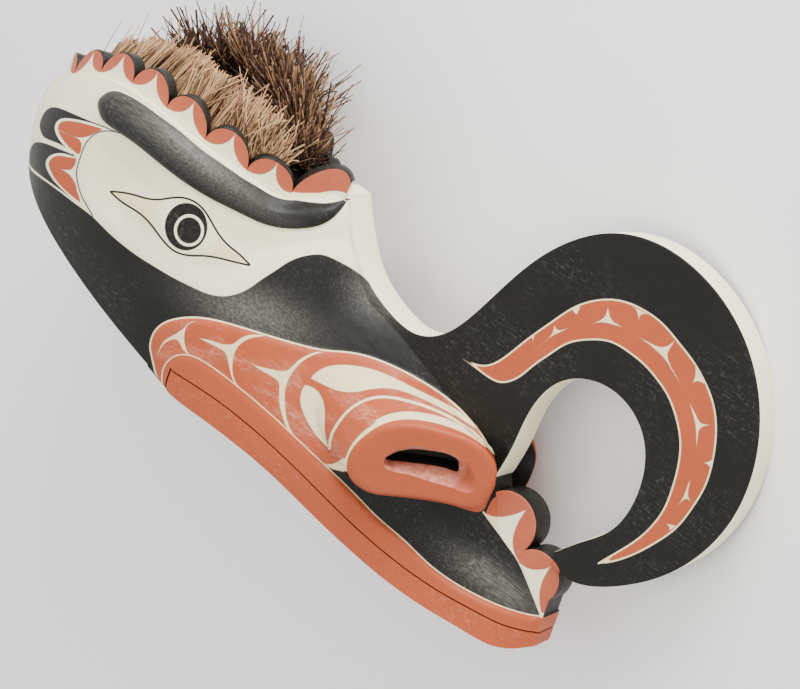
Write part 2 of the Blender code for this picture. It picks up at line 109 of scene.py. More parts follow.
LIP_LINE = (
    (0.000, 0.0240), (0.040, 0.0238), (0.082, 0.0207), (0.120, 0.0159), (0.161, 0.0088),
    (0.200, 0.0003), (0.236, -0.0082), (0.272, -0.0151), (0.304, -0.0187), (0.336, -0.0196),
    (0.368, -0.0170), (0.402, -0.0108), (0.434, 0.0015), (0.480, 0.0040),
)
PLATE_OUTER = (
    (0.047, 0.253), (0.062, 0.233), (0.086, 0.206), (0.111, 0.188), (0.145, 0.176),
    (0.178, 0.174), (0.203, 0.189), (0.222, 0.222), (0.243, 0.280), (0.268, 0.327),
    (0.306, 0.363), (0.358, 0.379), (0.417, 0.371), (0.468, 0.344), (0.507, 0.301),
    (0.530, 0.247), (0.533, 0.190), (0.515, 0.136), (0.483, 0.095), (0.446, 0.068),
    (0.424, 0.0635), (0.409, 0.066),
)
PLATE_INNER = (
    (0.407, 0.078), (0.426, 0.104), (0.443, 0.128), (0.449, 0.160), (0.441, 0.198),
    (0.420, 0.226), (0.386, 0.240), (0.351, 0.234), (0.327, 0.211), (0.319, 0.174),
    (0.321, 0.138), (0.320, 0.105),
)
PLATE_ROOT = ((0.310, 0.060), (0.200, 0.100), (0.060, 0.170), (0.030, 0.215), (0.030, 0.253))
BEAK_LOBES = ((0.3510, 0.0710, 0.0310), (0.4005, 0.0435, 0.0262))
BEAK_CREST_FOOT = ((0.428, 0.012), (0.330, 0.012), (0.322, 0.055))
CAVITY = (
    (-0.300, 0.014, 0.128), (-0.288, 0.044, 0.158), (-0.255, 0.074, 0.188), (-0.205, 0.094, 0.210),
    (-0.140, 0.102, 0.221), (-0.070, 0.095, 0.212), (-0.020, 0.080, 0.192), (0.030, 0.069, 0.158),
    (0.080, 0.061, 0.124), (0.140, 0.052, 0.094), (0.200, 0.044, 0.068), (0.260, 0.033, 0.046),
    (0.310, 0.022, 0.030), (0.345, 0.012, 0.020),
)
TROUGH = (
    (-0.020, 0.0800, 0.0120), (0.030, 0.0740, 0.0085), (0.100, 0.0640, 0.0040),
    (0.180, 0.0520, -0.0090), (0.250, 0.0390, -0.0225), (0.310, 0.0260, -0.0290),
    (0.360, 0.0140, -0.0290), (0.380, 0.0060, -0.0255),
)
NOSTRIL_RIM = (
    (0.2126, 0.0504), (0.2089, 0.0618), (0.2093, 0.0762), (0.2140, 0.0915), (0.2228, 0.1060),
    (0.2381, 0.1181), (0.2588, 0.1273), (0.2846, 0.1330), (0.3020, 0.1336), (0.3177, 0.1267),
    (0.3265, 0.1165), (0.3300, 0.1032), (0.3305, 0.0900), (0.3270, 0.0765), (0.3103, 0.0690),
    (0.2854, 0.0607), (0.2576, 0.0484), (0.2409, 0.0412), (0.2301, 0.0408), (0.2199, 0.0437),
)
NOSTRIL_HOLE = (
    (0.2369, 0.0771), (0.2400, 0.0712), (0.2493, 0.0713), (0.2626, 0.0758), (0.2795, 0.0790),
    (0.2988, 0.0835), (0.3138, 0.0869), (0.3166, 0.0949), (0.3125, 0.1031), (0.3062, 0.1094),
    (0.2983, 0.1131), (0.2892, 0.1142), (0.2794, 0.1134), (0.2662, 0.1090), (0.2537, 0.1030),
    (0.2429, 0.0929), (0.2378, 0.0841),
)
# The same places 12 mm into the wood, where the sloping sill and the front wall end
NOSTRIL_DEEP = (
    (0.2378, 0.0728), (0.2399, 0.0722), (0.2475, 0.0754), (0.2582, 0.0801), (0.2736, 0.0869),
    (0.2876, 0.0915), (0.2973, 0.0939), (0.2977, 0.0965), (0.2963, 0.0996), (0.2947, 0.1027),
    (0.2926, 0.1048), (0.2881, 0.1054), (0.2810, 0.1047), (0.2678, 0.0999), (0.2552, 0.0938),
    (0.2445, 0.0844), (0.2395, 0.0770),
)

# The draughting plane: where the eye stands from which the design was laid out, and its scale, so
# that a unit of the design is close to a millimetre on the wood
EYE_TURN, EYE_LIFT, EYE_TILT = 31.0, 5.0, 30.0
EYE_AWAY = 1.86
EYE_AIM = (0.1597336, 0.0, 0.14788909)
DESIGN_SCALE = 1900.0
DESIGN_SIZE = (800, 689)

# The painted design, in the draughting plane. A run of points is a smooth line, and an outline of
# several runs has a corner where two of them meet.
BROW_BAND = (
    ((349.5, 197.7), (329, 202.8), (306, 201.5), (277.4, 195.7), (258.3, 187.1), (239.1, 175.7),
     (220, 162.3), (200.9, 148.9), (181.7, 132.6), (162.6, 118.3), (141.6, 103), (126.3, 94.3),
     (116.7, 90.9), (109, 91.5), (101.4, 96.3), (97.6, 103), (99.5, 114.4), (103.3, 121.1),
     (118.6, 132.6), (133.9, 143.1), (153, 158.4), (172.2, 173.7), (191.3, 187.1), (210.4, 198.6),
     (229.6, 208.2), (248.7, 217.7), (267.8, 225.4), (287, 228.8), (300, 228.8), (319, 225.8),
     (336, 215.5), (349.5, 197.7)),
)
WHITE_GROUND = (
    ((8, 145), (26, 158), (29.7, 167.5), (36, 174.5), (48, 183), (63.1, 194.2), (76.5, 204.4),
     (91.8, 216), (107.1, 231.1), (122.4, 244.5), (137.7, 256), (153, 265.6), (172.2, 277),
     (191.3, 286.6), (206.6, 293.3), (221.9, 296.2), (235.3, 294.3), (248.7, 288.5), (262.1, 279),
     (275.5, 270.4), (287, 262.7), (300, 257), (312, 254.6), (324, 255), (342, 263), (360, 274),
     (378, 292)),
    ((378, 292), (420, 300), (420, 0), (0, 0), (0, 130), (8, 145)),
)
ARCHES_OUTER = (
    (((122.2, 134), (111.8, 129.4), (100.4, 124.8), (84.3, 118.5), (65.9, 110.5), (53.3, 107),
      (46.4, 109.9), (41.8, 116.8), (39.5, 124.8), (40.7, 131.7), (44.1, 137.4), (54.4, 142),
      (65.9, 147.8), (78.8, 158)),
     ((78.8, 158), (100, 145), (122.2, 134))),
    (((78.4, 158.1), (72.7, 154.6), (59.3, 148.9), (45.9, 143.5), (35.4, 142.2), (31.6, 146),
      (28.7, 154.6), (29.7, 164.2), (35.4, 171.3), (47.8, 180.9), (63.1, 192), (76.5, 202.2),
      (91.8, 213.9)),
     ((91.8, 213.9), (84, 185), (78.4, 158.1))),
)
ARCHES_INNER = (
    (((78.8, 158), (68.2, 149.5), (60.2, 140.9), (56.2, 134), (54.8, 127.1), (57.3, 121.4),
      (62.5, 118.5), (69.4, 118.5), (79.7, 120.2), (93.5, 123.7), (107.3, 128.8), (122.2, 134)),
     ((122.2, 134), (126, 150), (78.8, 158))),
    (((91.8, 213.9), (82, 206.3), (72, 198.4), (63.1, 190.2), (53.8, 180.7), (50, 175),
      (46.5, 168), (46.2, 161), (49.5, 156.3), (55, 153.8), (62, 153.3), (70, 155.3),
      (78.4, 158.1)),
     ((78.4, 158.1), (100, 180), (91.8, 213.9))),
)
CHEEK_REDS = (
    (((79.1, 155.2), (71.7, 149.5), (65.9, 143.8), (60.2, 135.7), (57.9, 129.4), (59, 124.2),
      (62.5, 121.4), (68.2, 120.8), (77.4, 121.9), (88.9, 124.8), (103.8, 129)),
     ((103.8, 129), (93, 134), (87, 140), (83, 147), (79.1, 155.2))),
    (((81.3, 203.6), (67, 191.9), (55.5, 179.5), (49.4, 168), (48.8, 162.3), (52.6, 157.5),
      (59.3, 155.6), (68, 157), (76.8, 158.2)),
     ((76.8, 158.2), (75.6, 165), (75, 176), (76.8, 190), (81.3, 203.6))),
)
SOCKET_EDGE = (
    ((121, 133.5), (111.8, 131.1), (100.4, 131.7), (93.5, 135.1), (87.7, 140.9), (83.7, 147.8),
     (80.8, 155.8), (78.2, 164), (76.6, 172), (77.5, 181.4), (80.4, 192.9), (86.1, 204.4),
     (92.5, 215.5)),
    ((92.5, 215.5), (92, 330)), ((92, 330), (420, 330)), ((420, 330), (400, 190)),
    ((400, 190), (345, 200)), ((345, 200), (300, 215)), ((300, 215), (140, 125)),
    ((140, 125), (121, 133.5)),
)
LID_TOP = (
    ((110, 191.3), (122.4, 192.5), (133.9, 194.8), (145.4, 198.2), (156.9, 199.6), (166.4, 198.6),
     (177.9, 197.4), (188.4, 199), (197, 203.4), (204.7, 211), (212.4, 223.5), (220, 235.9),
     (229.6, 246.4), (239.1, 254.1), (250.6, 265.6)),
    ((250.6, 265.6), (270, 340)), ((270, 340), (90, 340)), ((90, 340), (110, 191.3)),
)
LID_LOW = (
    ((250.6, 265.6), (233.4, 261.7), (218.1, 257.9), (202.8, 255.8), (190.5, 255.6), (177.9, 252.8),
     (168.4, 246.4), (158.8, 235), (149.2, 222.5), (137.7, 212), (122.4, 202.4), (110, 191.3)),
    ((110, 191.3), (90, 120)), ((90, 120), (280, 120)), ((280, 120), (250.6, 265.6)),
)
PUPIL = ((186.1, 226.7), (21.4, 23.9))
EYE_RING = ((189.0, 230.4), (13.6, 14.7))
EYE_MIDDLE, EYE_SPREAD, EYE_SLANT = (182.0, 229.0), (58.0, 30.0), 27.0
RED_LIPS = (
    ((163, 389), (156, 376), (151.5, 357.4), (149.6, 345.9), (153.8, 332), (165.3, 321.8),
     (185.9, 317.2), (206, 318), (231.8, 324), (277.7, 338), (321.4, 349.4), (337.4, 351),
     (360.4, 354), (392.5, 365.4), (427, 383.8), (461.4, 410), (486.6, 442), (495, 462)),
    ((495, 462), (480, 482)), ((480, 482), (350, 473)), ((350, 473), (331.7, 468.7)),
    ((331.7, 468.7), (321.4, 463)), ((321.4, 463), (300, 462)), ((300, 462), (190, 378)),
    ((190, 378), (163, 389)),
)
LIP_BAND = (
    ((163, 389), (161.8, 375.8), (165.3, 364.3), (174.4, 356.2), (185.9, 354.6), (199.7, 359.2),
     (218, 371.2), (238.7, 387.2), (268.6, 412.5), (300.7, 442.3), (321.4, 461.9), (339.7, 479),
     (360.4, 499.7), (381, 520.4), (404, 540), (425.5, 561), (451, 580.5), (476.5, 595),
     (502, 606.5), (522.4, 612.9), (541, 616), (575, 613)),
    ((575, 613), (600, 760)), ((600, 760), (120, 760)), ((120, 760), (140, 420)),
    ((140, 420), (163, 389)),
)
# A trigon is its three tips, each followed by the points of the hollow side to the next tip
LIP_TRIGONS = (
    ((195.2, 321.2), ((190.2, 322.1), (186.2, 325.4), (183.5, 328.4), (178.8, 331.7), (173.5, 335.1),
                      (166.8, 338.8), (161.4, 344.9)),
     (157.1, 355.6), ((160.1, 349.6), (164.8, 343.5), (170.1, 340.2), (175.1, 339.1), (178.8, 341.5),
                      (181.5, 346.9), (185.5, 352.2)),
     (192.2, 357.9), ((188.2, 352.9), (185.5, 346.9), (184.2, 338.8), (184.9, 331.5), (187.5, 325.4))),
    ((198.9, 337.9), ((207, 339.5), (216.3, 342.2), (223, 344.2), (228.4, 344.6), (233.8, 343.5),
                      (239.8, 338.8), (247.1, 335.5), (256.5, 334.6)),
     (267.2, 335.5), ((257.9, 336.8), (248.5, 339.1), (240.4, 344.2), (235.8, 350.2), (233.1, 358.9),
                      (232.4, 369.6), (233.8, 377.7), (237.1, 384.4)),
     (240.4, 389.1), ((235.1, 383.7), (231.1, 375), (228.4, 362.9), (225.7, 353.6), (220.4, 348.9),
                      (212.3, 344.9), (205.6, 341.5))),
    ((249.1, 361.6), ((256.5, 365.6), (264.5, 367.6), (272.6, 369.6), (280.6, 371), (287.3, 370.3),
                      (292.7, 365.6), (299.4, 359.6), (306.1, 355.6), (314.1, 352.5)),
     (324.1, 351.6), ((314.1, 354.9), (306.1, 358.9), (298, 365.6), (291.3, 374.3), (286.6, 384.4),
                      (284.9, 393.7), (285.3, 407.1), (287.3, 420.5), (291.3, 430.6), (296.7, 439.3)),
     (303.4, 447.3), ((296.7, 440.6), (291.3, 435.3), (286, 425.9), (282, 415.2), (279.3, 401.8),
                      (279.3, 388.4), (278.6, 381.7), (273.9, 377.7), (265.9, 373), (257.9, 368.3))),
)
CHEEK_TRIGONS = (
    ((67.6, 134), ((82, 137.6),), (103.8, 129), ((87, 141.5),), (79.1, 155.2), ((81, 142),)),
    ((60.8, 169), ((71.5, 169.2),), (76.8, 158.2), ((75.5, 182),), (81.3, 203.6), ((71.5, 177),)),
)
CREAM_SHAPES = (
    (((309.9, 378), (321.4, 368.9), (335.1, 365), (353.5, 365.4), (378.7, 371.2), (404, 382.6),
      (427, 394.1), (449.9, 405.6), (468.3, 418.2), (484.3, 434.3)),
     ((484.3, 434.3), (461.4, 419.4), (438.4, 406.7), (410.9, 394.1), (387.9, 388.4),
      (369.6, 389.5), (353.5, 392.3), (337.4, 390.7), (323.7, 384.9), (309.9, 378))),
    (((304.8, 384.5), (301.4, 391.8), (300.2, 401), (303, 412.5), (309.9, 426.3), (319.1, 438.9),
      (329.4, 449.2)),
     ((329.4, 449.2), (325.5, 435.4), (324.8, 421.7), (324.8, 407.9), (321.4, 396.4),
      (314.5, 388.4), (304.8, 384.5))),
    (((321.4, 461.9), (329, 464.2), (335.1, 463), (344.3, 456.1), (351.2, 444.6), (362.7, 430.9),
      (378.7, 418.2), (399.4, 411.8), (422.4, 412.5), (445.3, 418.2), (468.3, 429.7),
      (486.6, 445.3)),
     ((486.6, 445.3), (486.6, 449)),
     ((486.6, 449), (468.3, 437.4), (445.3, 427.8), (422.4, 422.5), (399.4, 421.8), (381, 427.1),
      (367, 437.4), (355.5, 448.9), (349.8, 460.4), (348.6, 471.5)),
     ((348.6, 471.5), (338, 470.5), (331.7, 468.7), (321.4, 461.9))),
)
CREAM_STRIPE = (
    (329.4, 449.2), (330.6, 437.7), (337.4, 424), (348.9, 410.2), (365, 400.3), (383.3, 396.9),
    (404, 399.9), (427, 406.8), (449.9, 417.1), (472.9, 432), (488, 446),
)
CREAM_STRIPE_HALF = 1.5
STRIPE_SPAN = (((300, 449.2), (345, 449.2)), ((345, 449.2), (345, 490)), ((345, 490), (520, 490)),
               ((520, 490), (520, 340)), ((520, 340), (300, 340)), ((300, 340), (300, 449.2)))
# Painted sheen: where the black is lightened to grey along the grain, standing in for highlights on the brow,
# cheeks and beak: a middle, two half sizes and a slant each
PAINTED_SHEEN_PLACES = (
    ((190, 152), (92, 15), 37.0), ((250, 312), (62, 24), 22.0), ((497, 584), (52, 16), 35.0),
    ((385, 290), (30, 26), 40.0),
)
NOSTRIL_RING = (
    ((346.6, 470.3), (347.8, 458.4), (353.5, 446.9), (365, 435.4), (381, 425.1), (399.4, 419.8),
     (422.4, 420.5), (445.3, 425.8), (468.3, 435.4), (486.6, 448), (494, 457), (497, 476.8),
     (493, 490.5), (487.5, 502), (481, 511.5), (456.8, 506.5), (427, 500.3), (392.5, 496.1),
     (371.9, 493.4), (360.4, 488), (351.2, 480), (346.6, 470.3)),
)
CURL_OUTER = (
    (462.4, 357.8), (473, 363.5), (485.6, 365.6), (498, 361.5), (512, 351.5), (530.5, 336.8),
    (551.5, 322), (575.4, 306.6), (596.4, 300.3), (612, 299.5), (629, 303), (648.5, 312.7),
    (663.8, 324.8), (679, 342.7), (694.4, 363), (704.5, 381), (711.6, 398), (715.7, 418),
    (715.7, 440.9), (711.6, 466.1), (704.8, 486.8), (693.3, 506.3), (677.2, 527), (658.9, 540.7),
    (635.9, 553.4), (613, 561.4), (598, 563.4),
)
CURL_INNER = (
    (462.4, 357.8), (478.6, 369.8), (492.6, 379.6), (503.8, 382.4), (519.3, 376.8), (533.3, 365.6),
    (551.5, 353), (568.4, 343), (589.4, 339.6), (610.5, 341.7), (629.6, 352.7), (645, 365.4),
    (657.5, 380), (668, 396), (676.1, 418), (680.1, 440.9), (678.4, 463.9), (672.6, 486.8),
    (663.4, 509.8), (649.7, 528.1), (633.6, 541.9), (613, 554.5), (598, 563.4),
)
CURL_TRIGONS = (
    ((554.3, 324.9), ((557.1, 329.8),), (568.4, 328), ((557.1, 333.6), (550.8, 336.8)),
     (544.5, 342), ((552.2, 333.3),)),
    ((592, 323.5), ((602, 319.3), (605.6, 315.1)), (608, 307.5), ((610.8, 318.4), (614, 322.2)),
     (621.7, 326.7), ((614, 324.8), (607.7, 323), (599.2, 322.4))),
    ((639.5, 337.6), ((651, 343.3), (658.7, 346.7), (666.3, 346.5), (671.4, 343.3)),
     (674.6, 340.7), ((670.8, 347.1), (667.6, 352.9), (668.9, 361.8), (674, 372)),
     (679.7, 382.2), ((671.4, 369.4), (665, 359.2), (656.1, 350.3), (648.5, 343.9))),
    ((689.6, 403), ((696.2, 415.7), (700.2, 422.5), (704.8, 424.3)),
     (709.9, 425.1), ((701.9, 427.1), (698.8, 430.6), (697.6, 438.6)),
     (696.5, 446.6), ((696.2, 437.5), (695.6, 426), (692.7, 413.4))),
    ((690.2, 479.9), ((688.5, 489.1), (688.1, 496), (689.3, 499.4)),
     (691, 502.3), ((687.5, 498.9), (684.7, 499.2), (681.8, 501.2)),
     (678.4, 505.2), ((681.8, 499.4), (685.2, 492.5), (687.5, 485.7))),
    ((527, 338.2), ((531.5, 337),), (533.3, 341.5), ((534.4, 335.6),), (538.9, 331.2), ()),
    ((571.9, 309.4), (), (576.5, 315), (), (581, 305.2), ()),
    ((631.9, 306), ((636.5, 310.5),), (638.9, 320), ((641, 314.5),), (649.1, 314.5), ()),
    ((695, 363), ((695.5, 375),), (692.8, 382.8), ((698, 381),), (706.5, 385), ()),
    ((714, 455), ((711, 460.5),), (703.8, 462.7), ((708.5, 465),), (711.5, 471.5), ()),
    ((669.2, 530.5), ((669.5, 527.5),), (667, 523.5), ((672, 525),), (677.2, 526), ()),
)
LOBE_PETALS = (
    (((526.9, 509), (520, 512.3), (513.4, 514.6), (508, 516), (502.5, 516.8), (496, 516.8),
      (490, 515.8), (483, 512)),
     ((483, 512), (470, 480)), ((470, 480), (530, 470)), ((530, 470), (542, 500)),
     ((542, 500), (526.9, 509))),
    (((526.9, 509), (520.9, 517.7), (515.5, 528.5), (512.8, 540.5), (514.4, 552.4), (518.8, 561)),
     ((518.8, 561), (531, 553)), ((531, 553), (560, 545)), ((560, 545), (542, 500)),
     ((542, 500), (526.9, 509))),
    (((555.1, 562.9), (549.5, 567.2), (543.7, 569.2), (535, 569.7), (526.4, 567.6), (518.8, 562.1)),
     ((518.8, 562.1), (521, 554)), ((521, 554), (531, 551)), ((531, 551), (560, 545)),
     ((560, 545), (555.1, 562.9))),
    (((555.1, 562.9), (548, 570.8), (542.6, 580.6), (539.9, 590.3), (539.4, 600), (541.5, 613)),
     ((541.5, 613), (570, 625)), ((570, 625), (575, 555)), ((575, 555), (555.1, 562.9))),
)
# The line where the lobes' white face meets the beak's black side, and the lobes' face beyond it
LOBE_FOOT = ((478, 505), (483, 511.7), (497.1, 530.7), (511.2, 550.2), (518.8, 562.1), (530, 588),
             (541, 616))
LOBE_FACE = (
    ((518.8, 560.5), (528.5, 550.2), (534, 539.4), (536.1, 526.4), (534, 513.4), (524.2, 499.3),
     (511.2, 491.7), (500.5, 493.8), (491.5, 501), (486.8, 510.6), (485, 514)),
    ((485, 514), (480, 540)), ((480, 540), (530, 640)), ((530, 640), (548, 622)),
    ((548, 622), (554.5, 597.9), (559.4, 583), (559.4, 570.8), (555.6, 563.2), (548.5, 555.5),
     (539.4, 551.8), (527.4, 554.5), (518.8, 560.5)),
)

# A nostril's face: how far in each of its loops lies, as a share of the way to the middle, and
# over which share its edge is eased; then how deep each loop of its pocket lies, and its taper
NOSTRIL_INSETS = (0.0, 0.005, 0.014, 0.03, 0.05, 0.08, 0.12, 0.17, 0.23, 0.30, 0.40, 0.52, 0.66,
                  0.80, 0.90)
NOSTRIL_EASE = 0.12
POCKET_DEPTHS = (-0.014, -0.0045, 0.000, 0.004, 0.008, 0.012, 0.020, 0.028, 0.036)
POCKET_TAPER = 0.0165

# How finely the wood is shaped
BODY_COLUMNS, BODY_ROWS = 300, 92
JAW_COLUMNS, JAW_ROWS = 240, 60
PLATE_STEP = 0.0032
SCALLOP_STEPS, SCALLOP_ROWS = 24, 12
EDGE_ROUND = 0.0016
RIDGE_FROM, BEAK_TOP_FROM = 0.050, 0.290
BLUNT_FROM, BLUNT_TOP = 0.4268, 0.026

SIDE_PAINT, EDGE_PAINT, CREST_PAINT, DARK_PAINT, BARE_WOOD, POCKET_PAINT = range(6)


def natural_cubic(knots, values, at):
    """The natural cubic spline through the values at the knots, read at the given places."""
    n = len(knots)
    gap = np.diff(knots)
    slope = np.diff(values, axis=0) / gap[:, None]
    system = np.eye(n)
    right = np.zeros((n, values.shape[1]))
    for i in range(1, n - 1):
        system[i, i - 1 : i + 2] = gap[i - 1], 2 * (gap[i - 1] + gap[i]), gap[i]
        right[i] = 6 * (slope[i] - slope[i - 1])
    second = np.linalg.solve(system, right)
    i = np.clip(np.searchsorted(knots, at, side="right") - 1, 0, n - 2)
    a = ((knots[i + 1] - at) / gap[i])[:, None]
    b = 1.0 - a
    bend = ((a**3 - a) * second[i] + (b**3 - b) * second[i + 1]) * (gap[i] ** 2)[:, None] / 6
    return a * values[i] + b * values[i + 1] + bend


def spline(points, count, closed=False):
    """A smooth curve through points, which it passes at a pace that follows their spacing."""
    given = np.array(points, float)
    if closed:
        given = np.concatenate([given[-3:], given, given[:4]])
    steps = np.linalg.norm(np.diff(given[:, :3], axis=0), axis=1)
    knots = np.concatenate([[0.0], np.cumsum(np.sqrt(steps))])
    if closed:
        at = np.linspace(knots[3], knots[-4], count, endpoint=False)
    else:
        at = np.linspace(0.0, knots[-1], count)
    return natural_cubic(knots, given, at)


def even_spline(points, gap, closed=False):
    """The same curve with its points an even gap apart."""
    curve = spline(points, 1200, closed)
    if closed:
        curve = np.concatenate([curve, curve[:1]])
    run = np.concatenate([[0.0], np.cumsum(np.linalg.norm(np.diff(curve, axis=0), axis=1))])
    count = max(3, round(run[-1] / gap)) + 1
    at = np.linspace(0, run[-1], count)
    even = np.stack([np.interp(at, run, curve[:, k]) for k in range(curve.shape[1])], axis=1)
    return even[:-1] if closed else even


def smooth_step(t):
    """Rises from 0 to 1 as t does, level at both ends."""
    t = np.clip(t, 0.0, 1.0)
    return t * t * (3 - 2 * t)


def rounded_step(t):
    """Rises steeply from 0 and rounds over to 1, as a carved edge does."""
    t = np.clip(t, 0.0, 1.0)
    return np.sqrt(1 - (1 - t) ** 2)


def drawn(runs):
    """The corners of an outline that is smooth along each of its runs."""
    corners = []
    for run in runs:
        line = spline(run, 4 * (len(run) - 1) + 1) if len(run) > 5 else np.array(run, float)
        corners.append(line[:-1])
    return np.concatenate(corners)


def off_outline(points, shape, reach=45.0):
    """How far points are from a closed outline, negative inside, and no more than the reach."""
    low, high = shape.min(axis=0) - reach, shape.max(axis=0) + reach
    close = np.all((points > low) & (points < high), axis=1)
    result = np.full(len(points), reach)
    x, y = points[close].T
    near = np.full(len(x), reach**2)
    inside = np.zeros(len(x), bool)
    for (ax, ay), (bx, by) in zip(shape, np.roll(shape, -1, axis=0), strict=True):
        ex, ey = bx - ax, by - ay
        if ex == 0 and ey == 0:
            continue
        dx, dy = x - ax, y - ay
        t = np.clip((dx * ex + dy * ey) / (ex * ex + ey * ey), 0, 1)
        near = np.minimum(near, (dx - t * ex) ** 2 + (dy - t * ey) ** 2)
        if ey != 0:
            inside ^= ((ay > y) != (by > y)) & (dx < ex * dy / ey)
    result[close] = np.where(inside, -np.sqrt(near), np.sqrt(near))
    return result


def off_any(points, shapes, reach=45.0):
    """How far points are from the nearest of several outlines, negative inside."""
    return np.min([off_outline(points, drawn(shape), reach) for shape in shapes], axis=0)


def off_line(points, line, reach=45.0):
    """How far points are from a line, with a sign for its two sides.

    The line runs straight on beyond both its ends, so that the sign never jumps near it.
    """
    line = np.array(line, float)
    runs = [line[0] - line[1], line[-1] - line[-2]]
    first, last = (4 * reach * run / np.linalg.norm(run) for run in runs)
    line = np.array([line[0] + first, *line, line[-1] + last])
    x, y = points.T
    near = np.full(len(x), np.inf)
    side = np.ones(len(x))
    for (ax, ay), (bx, by) in zip(line[:-1], line[1:], strict=True):
        ex, ey = bx - ax, by - ay
        dx, dy = x - ax, y - ay
        t = np.clip((dx * ex + dy * ey) / (ex * ex + ey * ey), 0, 1)
        gap = (dx - t * ex) ** 2 + (dy - t * ey) ** 2
        closer = gap < near
        near = np.where(closer, gap, near)
        side = np.where(closer, np.sign(ex * dy - ey * dx), side)
    return np.clip(side * np.sqrt(near), -reach, reach)


def off_ellipse(points, middle, half):
    """Roughly how far points are outside an ellipse."""
    scaled = (points - np.array(middle)) / np.array(half)
    return (np.linalg.norm(scaled, axis=1) - 1) * min(half)


def inside_trigons(points, trigons, reach=12.0, brim=5.0):
    """For each point, how far it is inside each of the three hollow sides of the nearest trigon."""
    best = np.full((3, len(points)), -reach)
    for trigon in trigons:
        tips, between = trigon[0::2], trigon[1::2]
        sides = [spline((tips[k], *between[k], tips[(k + 1) % 3]), 5 * len(between[k]) + 5) for k in range(3)]
        corners = np.concatenate([side[:-1] for side in sides])
        low, high = corners.min(axis=0) - reach, corners.max(axis=0) + reach
        near = np.flatnonzero(np.all((points > low) & (points < high), axis=1))
        x, y = corners.T
        turn = math.copysign(1.0, np.sum(x * np.roll(y, -1) - np.roll(x, -1) * y))
        gaps = np.array([turn * off_line(points[near], side) for side in sides])
        better = gaps.min(axis=0) > best[:, near].min(axis=0)
        best[:, near] = np.where(better, gaps, best[:, near])
    best = np.minimum(best, 3.0)
    best[:, best.min(axis=0) < -brim] = -reach
    return best


def design_axes():
    """The draughting plane's eye point and its right, up and towards directions."""
    turn, lift, tilt = (math.radians(a) for a in (EYE_TURN, EYE_LIFT, EYE_TILT))
    along = np.array([math.cos(tilt), 0.0, math.sin(tilt)])
    above = np.array([-math.sin(tilt), 0.0, math.cos(tilt)])
    aside = np.array([0.0, -1.0, 0.0])
    towards = (math.sin(turn) * math.cos(lift) * along + math.sin(lift) * above
               + math.cos(turn) * math.cos(lift) * aside)
    right = math.cos(turn) * along - math.sin(turn) * aside
    return np.array(EYE_AIM), right, np.cross(towards, right), towards


def on_design(points):
    """Where points of the mask's right half, or of its left half mirrored, fall on the design."""
    aim, right, up, towards = design_axes()
    p = np.array(points, float)
    p[:, 1] = -np.abs(p[:, 1])
    p -= aim
    scale = DESIGN_SCALE / (EYE_AWAY - p @ towards)
    half_width, half_height = DESIGN_SIZE[0] / 2, DESIGN_SIZE[1] / 2
    return np.stack([half_width + scale * (p @ right), half_height - scale * (p @ up)], axis=1)


def carved_relief(at, sizes):
    """How far the carving stands out of the plain head, in metres, for places on the design."""
    brow = off_outline(at, drawn(BROW_BAND))
    relief = sizes.brow_rise * (0.72 * rounded_step(-brow / 7) + 0.28 * smooth_step(-brow / 22))
    socket = np.maximum(off_outline(at, drawn(WHITE_GROUND)), off_outline(at, drawn(SOCKET_EDGE)))
    relief -= sizes.socket_depth * smooth_step(-np.maximum(socket, -brow) / 30)
    turn = math.radians(EYE_SLANT)
    dx, dy = (at - np.array(EYE_MIDDLE)).T
    u = (dx * math.cos(turn) + dy * math.sin(turn)) / EYE_SPREAD[0]
    v = (dy * math.cos(turn) - dx * math.sin(turn)) / EYE_SPREAD[1]
    relief += sizes.eye_rise * np.exp(-((u * u + v * v) ** 1.5))
    lips = off_outline(at, drawn(RED_LIPS))
    band = off_outline(at, drawn(LIP_BAND))
    relief += sizes.lip_rise * rounded_step(-np.minimum(lips, band) / 9)
    relief += sizes.band_rise * smooth_step(-band / 6)
    return relief


def side_surface(columns, rows, sizes=None):
    """The body's right side as a grid of (forward, half width, height), back to tip, foot to top."""
    flat = np.array([[*low, *high, belly] for low, high, belly in STATIONS])
    guide = spline(flat, columns)
    low, high, belly = guide[:, 0:3], guide[:, 3:6], guide[:, 6]
    behind = low[:, 0] < 0
    low[behind, 2] = -RIM_SLOPE * low[behind, 0]
    along = np.gradient((low + high) / 2, axis=0)[:, :2]
    out = np.stack([-along[:, 1], along[:, 0]], axis=1)
    out /= np.linalg.norm(out, axis=1)[:, None]
    out[0] = (-1.0, 0.0)
    v = np.linspace(0.0, 1.0, rows)
    base = low[:, None] * (1 - v)[None, :, None] + high[:, None] * v[None, :, None]
    push = belly[:, None] * 4 * (v * (1 - v))[None]
    fade = smooth_step(np.arange(columns) * 50 / columns / 4)[:, None] * smooth_step((1 - v) / 0.05)[None]
    if sizes is not None:
        fade = fade * smooth_step((columns - 1 - np.arange(columns)) / 6)[:, None]
    relief = np.zeros_like(push)
    for _ in range(1 if sizes is None else 6):
        grid = base.copy()
        stand = push + relief
        grid[..., 0] += stand * out[:, None, 0]
        grid[..., 1] += stand * out[:, None, 1]
        if sizes is not None:
            wanted = carved_relief(on_design(grid.reshape(-1, 3)), sizes).reshape(push.shape) * fade
            relief = 0.5 * (relief + wanted)
    grid[0, :, 1] = 0.0
    return grid


